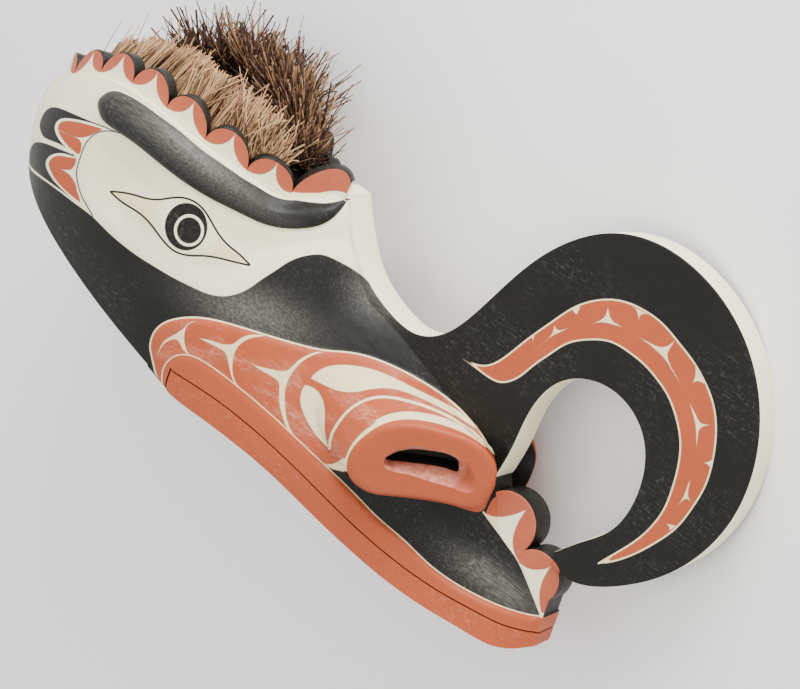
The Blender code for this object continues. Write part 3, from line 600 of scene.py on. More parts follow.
class Skin:
    """Points and faces under construction, each face with the number of its finish."""

    def __init__(self):
        self.points, self.faces, self.finishes = [], [], []

    def rings(self, rings, finishes, first_cap=None, last_cap=None):
        """Joins rings of equal length, with finishes for the strips between and along them."""
        base, n = len(self.points), len(rings[0])
        paints = np.broadcast_to(finishes, (len(rings) - 1, n))
        for ring in rings:
            self.points.extend(map(tuple, ring))
        for i in range(len(rings) - 1):
            for j in range(n):
                k = (j + 1) % n
                a = base + i * n
                self.faces.append((a + j, a + k, a + n + k, a + n + j))
                self.finishes.append(int(paints[i, j]))
        last = base + (len(rings) - 1) * n
        if first_cap is not None:
            self.faces.append(tuple(range(base, base + n))[::-1])
            self.finishes.append(first_cap)
        if last_cap is not None:
            self.faces.append(tuple(range(last, last + n)))
            self.finishes.append(last_cap)
        return self

    def made(self, name, finish_count=6):
        """The closed object that these faces make, with doubles merged and faces pointing out."""
        mesh = bpy.data.meshes.new(name)
        mesh.from_pydata([tuple(float(c) for c in p) for p in self.points], [], self.faces)
        for _ in range(finish_count):
            mesh.materials.append(placeholder())
        mesh.polygons.foreach_set("material_index", self.finishes)
        work = bmesh.new()
        work.from_mesh(mesh)
        bmesh.ops.remove_doubles(work, verts=work.verts, dist=1e-6)
        bmesh.ops.dissolve_degenerate(work, edges=work.edges, dist=1e-6)
        bmesh.ops.triangulate(work, faces=[f for f in work.faces if len(f.verts) > 4])
        bmesh.ops.recalc_face_normals(work, faces=work.faces)
        work.to_mesh(mesh)
        work.free()
        thing = bpy.data.objects.new(name, mesh)
        bpy.context.scene.collection.objects.link(thing)
        return thing


def placeholder():
    """An empty material that holds a finish's place until the finishes are made."""
    return bpy.data.materials.get("unfinished") or bpy.data.materials.new("unfinished")


def body_skin(name, columns, rows, sizes=None):
    """The whole closed body, jaw included, with the ledge and the crest's trough on top."""
    skin = Skin()
    ledge = np.array([0.0, 0.0035, 0.008, 0.016])
    rings = []
    for column in side_surface(columns, rows, sizes):
        right = [(x, -w, z) for x, w, z in column]
        x, w, z = column[-1]
        inward = np.minimum(ledge[1:], w * ledge[1:] / 0.020)
        top = [(x, -(w - s), z) for s in inward] + [(x, 0.0, z)] + [(x, w - s, z) for s in inward[::-1]]
        rings.append(right + top + [(x, w, z) for x, w, z in column[::-1]])
    side = [SIDE_PAINT] * (rows - 1)
    over = [EDGE_PAINT] * 3 + [DARK_PAINT] * 2 + [EDGE_PAINT] * 3
    paints = np.tile(side + over + side + [BARE_WOOD], (columns - 1, 1))
    top_places = np.array([ring[rows - 1][0] for ring in rings[:-1]])
    paints[np.ix_(top_places > RIDGE_FROM, [rows + 2, rows + 3])] = EDGE_PAINT
    beak = top_places > BEAK_TOP_FROM
    paints[np.ix_(beak, range(rows - 1, rows - 1 + len(over)))] = DARK_PAINT
    skin.rings(rings, paints, last_cap=SIDE_PAINT)
    return skin.made(name)


def rounded_slab(name, outline, half, step, faces=SIDE_PAINT, edge=EDGE_PAINT, rounding=EDGE_ROUND):
    """A flat plate with rounded edges about the middle plane, its sides filled with even triangles."""
    line = np.array(outline, float)
    tangent = np.roll(line, -1, axis=0) - np.roll(line, 1, axis=0)
    tangent /= np.linalg.norm(tangent, axis=1)[:, None]
    inward = np.stack([-tangent[:, 1], tangent[:, 0]], axis=1)
    area = 0.5 * np.sum(line[:, 0] * np.roll(line[:, 1], -1) - np.roll(line[:, 0], -1) * line[:, 1])
    inward *= math.copysign(1.0, area)
    inner = line + rounding * inward
    low, high = inner.min(axis=0), inner.max(axis=0)
    xs = np.arange(low[0] + step, high[0], step)
    zs = np.arange(low[1] + step, high[1], step * 0.866)
    grid = np.array([(x + (j % 2) * step / 2, z) for j, z in enumerate(zs) for x in xs])
    grid = grid[off_outline(grid * 1000, inner * 1000) < -600 * step]
    n = len(inner)
    places = [Vector(p) for p in np.concatenate([inner, grid])]
    loops = [(i, (i + 1) % n) for i in range(n)]
    flat, _, tris, *_ = delaunay_2d_cdt(places, loops, [], 0, 1e-7, True)
    middles = np.array([sum((flat[i] for i in tri), Vector((0, 0))) / 3 for tri in tris])
    kept = off_outline(middles * 1000, inner * 1000) < 0
    tris = [tri for tri, keep in zip(tris, kept, strict=True) if keep]
    skin = Skin()
    rings = []
    for angle in np.linspace(0, math.pi / 2, 4):
        reach = line + rounding * (1 - math.sin(angle)) * inward
        y = -half + rounding * (1 - math.cos(angle))
        rings.append([(x, y, z) for x, z in reach])
    rings += [[(x, -y, z) for x, y, z in ring] for ring in rings[::-1]]
    skin.rings(rings, np.array([faces, faces, edge, edge, edge, faces, faces])[:, None])
    for side in (-1, 1):
        base = len(skin.points)
        skin.points.extend((p[0], side * half, p[1]) for p in flat)
        skin.faces.extend(tuple(base + i for i in tri[::side]) for tri in tris)
        skin.finishes.extend([faces] * len(tris))
    return skin.made(name)


def lobe_outline(gap):
    """The outline of the two round lobes on the beak's front, over a foot buried in the beak."""
    (x1, z1, r1), (x2, z2, r2) = BEAK_LOBES
    apart = math.hypot(x2 - x1, z2 - z1)
    towards = math.atan2(z2 - z1, x2 - x1)
    first = towards + math.acos((apart**2 + r1**2 - r2**2) / (2 * apart * r1))
    second = towards + math.pi - math.acos((apart**2 + r2**2 - r1**2) / (2 * apart * r2))
    start, end = 3.3, -0.4
    outline = [(x1 + r1 * math.cos(a), z1 + r1 * math.sin(a))
               for a in np.linspace(start, first, round((start - first) * r1 / gap))]
    outline += [(x2 + r2 * math.cos(a), z2 + r2 * math.sin(a))
                for a in np.linspace(second, end, round((second - end) * r2 / gap))[1:]]
    return [*outline, *BEAK_CREST_FOOT]


def crest_line(at_share):
    """The crest wall's outer foot in plan at shares of its half length, from its front end back.

    Returns rows of (forward, half width, height) and the unit normals that point inwards.
    """
    edge = side_surface(240, 2)[:, -1]
    edge = edge[edge[:, 0] <= STATIONS[9][1][0]][::-1]
    along = np.gradient(edge[:, :2], axis=0)
    inward = np.stack([-along[:, 1], along[:, 0]], axis=1)
    inward /= np.linalg.norm(inward, axis=1)[:, None]
    inward[-1] = (1.0, 0.0)
    inset = CREST_INSET * smooth_step((edge[0, 0] - edge[:, 0]) / 0.05)
    edge[:, :2] += inward * inset[:, None]
    run = np.concatenate([[0], np.cumsum(np.linalg.norm(np.diff(edge[:, :2], axis=0), axis=1))])
    at = np.asarray(at_share) * run[-1]
    line = np.stack([np.interp(at, run, edge[:, k]) for k in range(3)], axis=1)
    facing = np.stack([np.interp(at, run, inward[:, k]) for k in range(2)], axis=1)
    return line, facing / np.linalg.norm(facing, axis=1)[:, None], run[-1]


def scallop_places():
    """Shares of the crest's half length, even along each scallop's arc, and the place across it."""
    turn = np.linspace(0, math.pi, SCALLOP_STEPS, endpoint=False)
    half = SCALLOPS / 2
    share, across = [], []
    for k in range(SCALLOPS // 2):
        share.extend((k + (1 - np.cos(turn)) / 2) / half)
        across.extend(-np.cos(turn))
    return np.array([*share, 1.0]), np.array([*across, -1.0])


def scalloped_wall():
    """The crest: a wall of round scallops with eased edges, from the ridge round the back.

    The first scallop on the right is cut off at its peak by the ridge, and the left side has none
    there.
    """
    share, across = scallop_places()
    across[: SCALLOP_STEPS // 2] *= 0.85
    line, facing, _ = crest_line(share)
    line[-1, 1] = 0.0
    facing[-1] = (1.0, 0.0)
    rings = []
    ease = EDGE_ROUND
    last = len(line) - 1
    for number, ((x, w, z), (fx, fw), u) in enumerate(zip(line, facing, across, strict=True)):
        least = min(0.0003 * (last - number), 0.0030)
        rise = SCALLOP_LIFT + SCALLOP_RISE * math.sqrt(max(0.0, 1 - u * u))
        profile = [(0.0, h) for h in np.linspace(-CREST_ROOT, rise - ease, SCALLOP_ROWS)]
        for angle in np.linspace(0, math.pi / 2, 4)[1:]:
            profile.append((ease * (1 - math.cos(angle)), rise - ease + ease * math.sin(angle)))
        profile += [(CREST_THICK - d, h) for d, h in profile[::-1]]
        rings.append([(x + d * fx, max(w + d * fw, least), z + h) for d, h in profile])
    n = len(rings[0])
    near = [[(x, -w, z) for x, w, z in ring] for ring in rings]
    finishes = [CREST_PAINT] * (SCALLOP_ROWS - 1) + [DARK_PAINT] * (n - SCALLOP_ROWS + 1)
    far = rings[-2 : SCALLOP_STEPS - 1 : -1]
    skin = Skin().rings(near + far, finishes, EDGE_PAINT, DARK_PAINT)
    return skin.made("crest_form")


def nostril_plane(x):
    """The half width at which the slanting plane of a nostril's mouth stands."""
    return 0.065 - 0.46 * (x - 0.270)


def nostrils(swell):
    """Both nostrils, each flared forward from the beak, with a mouth that swells round its rim."""
    count = 110
    rim = spline(NOSTRIL_RIM, count, closed=True)
    hole = spline(NOSTRIL_HOLE, count, closed=True)
    facing = np.array([0.46, 1.0]) / math.hypot(0.46, 1.0)
    half = []
    root = [(x - 2.8 * nostril_plane(x), 0.0, 0.112 + 0.75 * (z - 0.090)) for x, z in rim]
    mouth = [(x, nostril_plane(x), z) for x, z in rim]
    for t in np.linspace(0, 1, 30)[:-1]:
        half.append([tuple(np.array(r) * (1 - t) + np.array(m) * t)
                     for r, m in zip(root, mouth, strict=True)])
    centre = hole.mean(axis=0)
    for inset in NOSTRIL_INSETS:
        loop = centre + (rim - centre) * (1 - inset)
        out = swell * rounded_step(inset / NOSTRIL_EASE)
        half.append([(x + out * facing[0], nostril_plane(x) + out * facing[1], z) for x, z in loop])
    right = [[(x, -w, z) for x, w, z in ring] for ring in half[::-1]]
    return Skin().rings(right + half[1:], SIDE_PAINT, SIDE_PAINT, SIDE_PAINT).made("nostril_form")


def nostril_pocket(side):
    """The pocket in a nostril's mouth, whose sill slopes up and whose front wall slopes back."""
    facing = np.array([0.46, 1.0]) / math.hypot(0.46, 1.0)
    mouth = spline(NOSTRIL_HOLE, 96, closed=True)
    deep = spline(NOSTRIL_DEEP, 96, closed=True)
    rings = []
    for depth in POCKET_DEPTHS:
        share = min(max((depth - POCKET_DEPTHS[1]) / POCKET_TAPER, 0.0), 1.0)
        ring = mouth * (1 - share) + deep * share
        rings.append([(x - depth * facing[0], side * (nostril_plane(x) - depth * facing[1]), z)
                      for x, z in ring])
    return Skin().rings(rings, POCKET_PAINT, POCKET_PAINT, POCKET_PAINT).made("nostril_cut")


def arched_hollow():
    """The hollow for the wearer's head, open below, as a cutter."""
    rings = []
    for x, half, roof in spline(CAVITY, 44):
        ring = [(x, -half, -0.060)]
        for angle in np.linspace(math.pi, 0, 30):
            c, s = math.cos(angle), math.sin(angle)
            y = half * math.copysign(abs(c) ** (2 / 2.6), c)
            ring.append((x, y, roof * s ** (2 / 2.6)))
        rings.append([*ring, (x, half, -0.060)])
    return Skin().rings(rings, BARE_WOOD, BARE_WOOD, BARE_WOOD).made("hollow_cut")


def jaw_trough():
    """The hollow in the jaw, open above and behind, as a cutter."""
    rings = []
    for x, half, floor in spline(TROUGH, 30):
        corner = min(0.006, half * 0.5)
        bed = [(half - corner + corner * math.sin(a), floor + corner - corner * math.cos(a))
               for a in np.linspace(0, math.pi / 2, 5)]
        right = [(x, -y, z) for y, z in bed[::-1]]
        rings.append([(x, -half, 0.05), *right, *[(x, y, z) for y, z in bed], (x, half, 0.05)])
    return Skin().rings(rings, BARE_WOOD, BARE_WOOD, BARE_WOOD).made("trough_cut")


def below_lip_line(name, drop, behind, finish):
    """A block under the lip line: it cuts the jaw's notch, or keeps the jaw alone."""
    smooth = spline(LIP_LINE, 90)
    line = [(x, z - drop) for x, z in smooth]
    start = (HINGE_X - behind, line[0][1] + 0.0016)
    outline = [start, *line, (LIP_LINE[-1][0], -0.08), (HINGE_X - behind, -0.08)]
    rings = [[(x, y, z) for x, z in outline] for y in (-0.16, 0.16)]
    return Skin().rings(rings, finish, finish, finish).made(name)


def combine(target, other, how):
    """Joins a form to the target, or cuts it away, and removes the form."""
    step = target.modifiers.new("join", "BOOLEAN")
    step.operation = how
    step.object = other
    step.solver = "MANIFOLD"
    bpy.ops.object.select_all(action="DESELECT")
    bpy.context.view_layer.objects.active = target
    target.select_set(True)
    bpy.ops.object.modifier_apply(modifier=step.name)
    bpy.data.objects.remove(other)
    if len(target.data.polygons) == 0:
        raise RuntimeError(f"{target.name} came out empty")


def lying_matrix():
    """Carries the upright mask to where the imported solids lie."""
    turn = (Matrix.Rotation(math.radians(LIE_TIP), 4, "Y")
            @ Matrix.Rotation(math.radians(LIE_LEAN), 4, "X")
            @ Matrix.Rotation(math.radians(LIE_ROLL), 4, "X"))
    shift = Vector(HINGE["pos_m"]) - turn @ Vector((HINGE_X, 0.0, HINGE_Z))
    return Matrix.Translation(shift) @ turn


def coordinates(mesh):
    """A mesh's vertices as rows."""
    flat = np.zeros(len(mesh.vertices) * 3)
    mesh.vertices.foreach_get("co", flat)
    return flat.reshape(-1, 3)


def store(mesh, name, values, kind="FLOAT"):
    """Keeps a value for each vertex, for the materials to read."""
    layer = mesh.attributes.new(name, kind, "POINT")
    layer.data.foreach_set("vector" if kind == "FLOAT_VECTOR" else "value",
                           np.asarray(values, np.float32).ravel())


def store_design(mesh, upright):
    """Keeps the painted design on a mesh as distances, in the design's own units."""
    at = on_design(upright)
    reach = 12.0
    store(mesh, "white_ground", off_outline(at, drawn(WHITE_GROUND), reach))
    store(mesh, "brow_band", off_outline(at, drawn(BROW_BAND), reach))
    store(mesh, "arch_outer", off_any(at, ARCHES_OUTER, reach))
    store(mesh, "arch_inner", off_any(at, ARCHES_INNER, reach))
    store(mesh, "cheek_red", off_any(at, CHEEK_REDS, reach))
    store(mesh, "socket_edge", off_outline(at, drawn(SOCKET_EDGE), reach))
    store(mesh, "lid_top", off_outline(at, drawn(LID_TOP), reach))
    store(mesh, "lid_low", off_outline(at, drawn(LID_LOW), reach))
    store(mesh, "pupil", off_ellipse(at, *PUPIL))
    store(mesh, "eye_ring", off_ellipse(at, *EYE_RING))
    store(mesh, "red_lips", off_outline(at, drawn(RED_LIPS), reach))
    store(mesh, "lip_band", off_outline(at, drawn(LIP_BAND), reach))
    store(mesh, "nostril_ring", off_outline(at, drawn(NOSTRIL_RING), reach))
    store(mesh, "cream", off_any(at, CREAM_SHAPES, reach))
    store(mesh, "cream_stripe", off_line(at, spline(CREAM_STRIPE, 60), 20))
    store(mesh, "stripe_span", off_outline(at, drawn(STRIPE_SPAN), reach))
    # Painted sheen: grey highlights laid into the black at the places listed, kept for the materials
    sheen_and_wear = np.zeros(len(at))
    for middle, (long, wide), slant in PAINTED_SHEEN_PLACES:
        turn = math.radians(slant)
        dx, dy = (at - np.array(middle)).T
        u = (dx * math.cos(turn) + dy * math.sin(turn)) / long
        v = (dy * math.cos(turn) - dx * math.sin(turn)) / wide
        sheen_and_wear = np.maximum(sheen_and_wear, np.exp(-(u * u + v * v)))
    store(mesh, "sheen_and_wear", sheen_and_wear)
    trigons = LIP_TRIGONS + CHEEK_TRIGONS + CURL_TRIGONS
    for half, some in (("odd", trigons[::2]), ("even", trigons[1::2])):
        for name, side in zip("abc", inside_trigons(at, some), strict=True):
            store(mesh, f"trigon_{half}_{name}", side)
    store(mesh, "curl", off_outline(at, drawn((CURL_OUTER, CURL_INNER[::-1])), reach))


def store_petals(mesh, upright):
    """Keeps how far a place is inside a petal of the crest or of the beak's lobes."""
    at = on_design(upright)
    on_crest = upright[:, 0] < 0.07
    store(mesh, "lobe_foot", np.where(on_crest, -12.0, off_line(at, spline(LOBE_FOOT, 30))))
    store(mesh, "lobe_face", off_outline(at, drawn(LOBE_FACE), 12.0))
    petal = -off_any(at, LOBE_PETALS, 12.0)
    share = np.linspace(0, 1, 4001)
    line, _, length = crest_line(share)
    places = upright[on_crest].copy()
    places[:, 1] = np.abs(places[:, 1])
    found = np.zeros(len(places), int)
    for start in range(0, len(places), 2000):
        part = places[start : start + 2000, None, :2] - line[None, :, :2]
        found[start : start + 2000] = np.argmin(np.einsum("ijk,ijk->ij", part, part), axis=1)
    pitch = 2 / SCALLOPS
    across = np.abs(2 * (share[found] / pitch % 1.0) - 1)
    up = (places[:, 2] - line[found, 2] - SCALLOP_LIFT) / SCALLOP_RISE
    half = length * pitch / 2
    petal[on_crest] = 1000 * np.minimum(half, SCALLOP_RISE) * (1 - np.hypot(across - 1, up - 1))
    first = np.flatnonzero(on_crest)[share[found] < pitch]
    along = 1 - 2 * np.abs(share[found][share[found] < pitch] / pitch - 0.5)
    petal[first] = 1000 * (up[share[found] < pitch] + 0.10 - 0.16 * (1 - along)) * SCALLOP_RISE
    store(mesh, "petal", np.clip(petal, -12, 12))


def turned_away(mesh, upright):
    """How squarely the head's back faces the draughtsman, and the edge of its plain black part."""
    normals = np.zeros(len(mesh.vertices) * 3)
    mesh.vertices.foreach_get("normal", normals)
    normals = normals.reshape(-1, 3)
    mirrored = np.where(upright[:, 1:2] > 0, normals * np.array([1, -1, 1]), normals)
    aim, _, _, towards = design_axes()
    places = upright * np.array([1.0, 1.0, 1.0])
    places[:, 1] = -np.abs(places[:, 1])
    eye = aim + towards * EYE_AWAY - places
    eye /= np.linalg.norm(eye, axis=1)[:, None]
    facing = np.einsum("ij,ij->i", mirrored, eye)
    behind = np.where((upright[:, 0] < -0.17) | (upright[:, 0] > 0.20), facing, 1.0)
    store(mesh, "facing", behind)
    store(mesh, "nape", 1000 * (0.152 - 0.18 * (upright[:, 0] + 0.32) - upright[:, 2]))


def lay_on_floor(thing, sharp=42.0):
    """Moves an upright mesh to its place, trims it to the floor, and smooths its faces."""
    mesh = thing.data
    upright = coordinates(mesh)
    store(mesh, "upright", upright, "FLOAT_VECTOR")
    matrix = np.array(lying_matrix())
    placed = upright @ matrix[:3, :3].T + matrix[:3, 3]
    placed[:, 2] = np.maximum(placed[:, 2], 0.0)
    mesh.vertices.foreach_set("co", placed.ravel())
    mesh.update()
    mesh.shade_smooth()
    mesh.set_sharp_from_angle(angle=math.radians(sharp))
    work = bmesh.new()
    work.from_mesh(mesh)
    for edge in work.edges:
        if len({face.material_index for face in edge.link_faces}) > 1:
            edge.smooth = False
    work.to_mesh(mesh)
    work.free()


def triangulated(thing):
    """Makes every face a triangle and welds what a cut left doubled."""
    work = bmesh.new()
    work.from_mesh(thing.data)
    bmesh.ops.dissolve_degenerate(work, edges=work.edges, dist=1e-6)
    bmesh.ops.triangulate(work, faces=[f for f in work.faces if len(f.verts) > 3])
    work.to_mesh(thing.data)
    work.free()


# Materials


def put(tree, socket, what):
    """Sets a socket to a value, or joins it to another."""
    if isinstance(what, bpy.types.NodeSocket):
        tree.links.new(what, socket)
    else:
        socket.default_value = what


def calc(tree, operation, *values, clamp=False):
    """A math node on values or sockets."""
    node = tree.nodes.new("ShaderNodeMath")
    node.operation = operation
    node.use_clamp = clamp
    for socket, value in zip(node.inputs, values, strict=False):
        put(tree, socket, value)
    return node.outputs[0]


def blend_colours(tree, share, first, second, how="MIX"):
    """A mix of two colours."""
    node = tree.nodes.new("ShaderNodeMix")
    node.data_type = "RGBA"
    node.blend_type = how
    put(tree, node.inputs[0], share)
    for socket, colour in ((node.inputs[6], first), (node.inputs[7], second)):
        put(tree, socket, colour if isinstance(colour, bpy.types.NodeSocket) else (*colour[:3], 1.0))
    return node.outputs[2]


def ramp(tree, value, low, high, to_low=0.0, to_high=1.0):
    """A value carried smoothly from one range to another."""
    node = tree.nodes.new("ShaderNodeMapRange")
    node.interpolation_type = "SMOOTHSTEP"
    for name, what in (("Value", value), ("From Min", low), ("From Max", high),
                       ("To Min", to_low), ("To Max", to_high)):
        put(tree, node.inputs[name], what)
    return node.outputs[0]


def stored(tree, name):
    """A value that is stored on the mesh."""
    node = tree.nodes.new("ShaderNodeAttribute")
    node.attribute_name = name
    return node.outputs["Fac"]


def place(tree, scale=(1, 1, 1)):
    """The upright place on the mesh, stretched."""
    node = tree.nodes.new("ShaderNodeAttribute")
    node.attribute_name = "upright"
    mapping = tree.nodes.new("ShaderNodeMapping")
    mapping.inputs["Scale"].default_value = scale
    tree.links.new(node.outputs["Vector"], mapping.inputs["Vector"])
    return mapping.outputs[0]


def noise(tree, vector, scale, detail=3.0, roughness=0.5):
    """A noise's value."""
    node = tree.nodes.new("ShaderNodeTexNoise")
    put(tree, node.inputs["Vector"], vector)
    for name, what in (("Scale", scale), ("Detail", detail), ("Roughness", roughness)):
        node.inputs[name].default_value = what
    return node.outputs["Fac"]


def inside(tree, distance, edge=0.0, soft=0.45):
    """1 where a distance is under the edge, with a crisp painted edge."""
    return ramp(tree, distance, edge - soft, edge + soft, 1.0, 0.0)


def along_edge(tree, distance, half, soft=0.4):
    """1 along a line of the given half width."""
    return inside(tree, calc(tree, "ABSOLUTE", distance), half, soft)


def both(tree, *masks):
    """Where all masks are."""
    result = masks[0]
    for mask in masks[1:]:
        result = calc(tree, "MULTIPLY", result, mask)
    return result


def either(tree, first, second):
    """Where one mask or the other is."""
    return calc(tree, "MAXIMUM", first, second)


def opposite(tree, mask):
    """Where a mask isn't."""
    return calc(tree, "SUBTRACT", 1.0, mask)


def group(name, inputs, outputs):
    """An empty node group with named sockets, and its input and output nodes."""
    tree = bpy.data.node_groups.new(name, "ShaderNodeTree")
    for label, kind, default in inputs:
        socket = tree.interface.new_socket(label, in_out="INPUT", socket_type=kind)
        if default is not None:
            socket.default_value = default
    for label, kind in outputs:
        tree.interface.new_socket(label, in_out="OUTPUT", socket_type=kind)
    return tree, tree.nodes.new("NodeGroupInput").outputs, tree.nodes.new("NodeGroupOutput").inputs


def hand_paint_group():
    """Brushed paint on knife-finished wood: uneven tone, fine brush hairs, dust and small rubs, and the
    painted sheen where a material's rub carries it.
    """
    tree, given, out = group(
        "hand_paint",
        (("Colour", "NodeSocketColor", None), ("Rubbed Colour", "NodeSocketColor", None),
         ("Rub", "NodeSocketFloat", 0.3), ("Unevenness", "NodeSocketFloat", 0.08),
         ("Roughness", "NodeSocketFloat", 0.5), ("Relief", "NodeSocketFloat", 0.5)),
        (("Colour", "NodeSocketColor"), ("Roughness", "NodeSocketFloat"),
         ("Normal", "NodeSocketVector")),
    )
    mottle = noise(tree, place(tree), 22.0, 4.0, 0.6)
    hairs = noise(tree, place(tree, (90, 900, 420)), 1.0, 3.0, 0.65)
    cross = noise(tree, place(tree, (500, 500, 130)), 1.0, 2.0, 0.6)
    facets = noise(tree, place(tree, (55, 95, 75)), 1.0, 1.0, 0.4)
    specks = noise(tree, place(tree), 900.0, 1.0, 0.5)
    shade = calc(tree, "MULTIPLY", calc(tree, "SUBTRACT", mottle, 0.5), given["Unevenness"])
    streak = calc(tree, "MULTIPLY", calc(tree, "SUBTRACT", hairs, 0.5), given["Unevenness"])
    tone = calc(tree, "ADD", 1.0, calc(tree, "ADD", shade, streak))
    toned = tree.nodes.new("ShaderNodeVectorMath")
    toned.operation = "SCALE"
    put(tree, toned.inputs[0], given["Colour"])
    put(tree, toned.inputs["Scale"], tone)
    worn = ramp(tree, calc(tree, "ADD", hairs, calc(tree, "MULTIPLY", cross, 0.6)), 0.78, 1.12)
    patch = ramp(tree, noise(tree, place(tree, (1, 1, 1.4)), 9.0, 3.0, 0.55), 0.40, 0.66)
    sheen_and_wear_share = both(tree, worn, patch, given["Rub"])
    sheen_and_wear = blend_colours(tree, sheen_and_wear_share, toned.outputs[0], given["Rubbed Colour"])
    speck = calc(tree, "MULTIPLY", ramp(tree, specks, 0.74, 0.80), calc(tree, "MULTIPLY", given["Rub"], 0.35))
    put(tree, out["Colour"], blend_colours(tree, speck, sheen_and_wear, given["Rubbed Colour"]))
    hair_change = calc(tree, "MULTIPLY", calc(tree, "SUBTRACT", hairs, 0.5), 0.30)
    mottle_change = calc(tree, "MULTIPLY", calc(tree, "SUBTRACT", mottle, 0.5), 0.15)
    rough = calc(tree, "ADD", given["Roughness"], hair_change)
    put(tree, out["Roughness"], calc(tree, "ADD", rough, mottle_change, clamp=True))
    height = calc(tree, "ADD", calc(tree, "MULTIPLY", hairs, 0.35),
                  calc(tree, "ADD", calc(tree, "MULTIPLY", facets, 1.6), calc(tree, "MULTIPLY", cross, 0.2)))
    bump = tree.nodes.new("ShaderNodeBump")
    bump.inputs["Distance"].default_value = 0.0009
    put(tree, bump.inputs["Strength"], given["Relief"])
    put(tree, bump.inputs["Height"], height)
    put(tree, out["Normal"], bump.outputs[0])
    return tree


def cedar_group():
    """Bare cedar: long grain, gouge marks and broad darker patches."""
    tree, given, out = group(
        "bare_cedar_grain",
        (("Wood", "NodeSocketColor", None), ("Dark Wood", "NodeSocketColor", None),
         ("Relief", "NodeSocketFloat", 0.6)),
        (("Colour", "NodeSocketColor"), ("Roughness", "NodeSocketFloat"),
         ("Normal", "NodeSocketVector")),
    )
    grain = noise(tree, place(tree, (12, 260, 260)), 1.0, 4.0, 0.6)
    broad = noise(tree, place(tree, (3, 40, 40)), 1.0, 3.0, 0.5)
    gouge = tree.nodes.new("ShaderNodeTexVoronoi")
    gouge.feature = "SMOOTH_F1"
    put(tree, gouge.inputs["Vector"], place(tree, (55, 90, 90)))
    gouge.inputs["Scale"].default_value = 1.0
    share = calc(tree, "ADD", calc(tree, "MULTIPLY", grain, 0.6), calc(tree, "MULTIPLY", broad, 0.6))
    put(tree, out["Colour"],
        blend_colours(tree, ramp(tree, share, 0.38, 0.86), given["Wood"], given["Dark Wood"]))
    put(tree, out["Roughness"], ramp(tree, grain, 0.3, 0.7, 0.62, 0.86))
    bump = tree.nodes.new("ShaderNodeBump")
    bump.inputs["Distance"].default_value = 0.0016
    put(tree, bump.inputs["Strength"], given["Relief"])
    put(tree, bump.inputs["Height"],
        calc(tree, "ADD", gouge.outputs["Distance"], calc(tree, "MULTIPLY", grain, 0.25)))
    put(tree, out["Normal"], bump.outputs[0])
    return tree


def new_material(name, shine=0.5):
    """A material with its Principled shader, its tree, and the shader's inputs."""
    material = bpy.data.materials.new(name)
    material.use_nodes = True
    tree = material.node_tree
    shader = tree.nodes["Principled BSDF"]
    shader.inputs["Metallic"].default_value = 0.0
    shader.inputs["Specular IOR Level"].default_value = shine
    return material, tree, shader.inputs


def use_group(tree, shared, shader, **values):
    """Places a shared group with its own values and joins it to the shader."""
    node = tree.nodes.new("ShaderNodeGroup")
    node.node_tree = bpy.data.node_groups[shared]
    for name, what in values.items():
        socket = node.inputs[name.replace("_", " ")]
        if not isinstance(what, bpy.types.NodeSocket) and socket.type == "RGBA":
            what = (*what[:3], 1.0)
        put(tree, socket, what)
    put(tree, shader["Base Color"], node.outputs["Colour"])
    put(tree, shader["Roughness"], node.outputs["Roughness"])
    put(tree, shader["Normal"], node.outputs["Normal"])
    return node


def innermost(tree, name):
    """How far a place is inside the nearest trigon: the least of its distances from three sides."""
    first, second, third = (stored(tree, f"{name}_{side}") for side in "abc")
    return calc(tree, "MINIMUM", first, calc(tree, "MINIMUM", second, third))


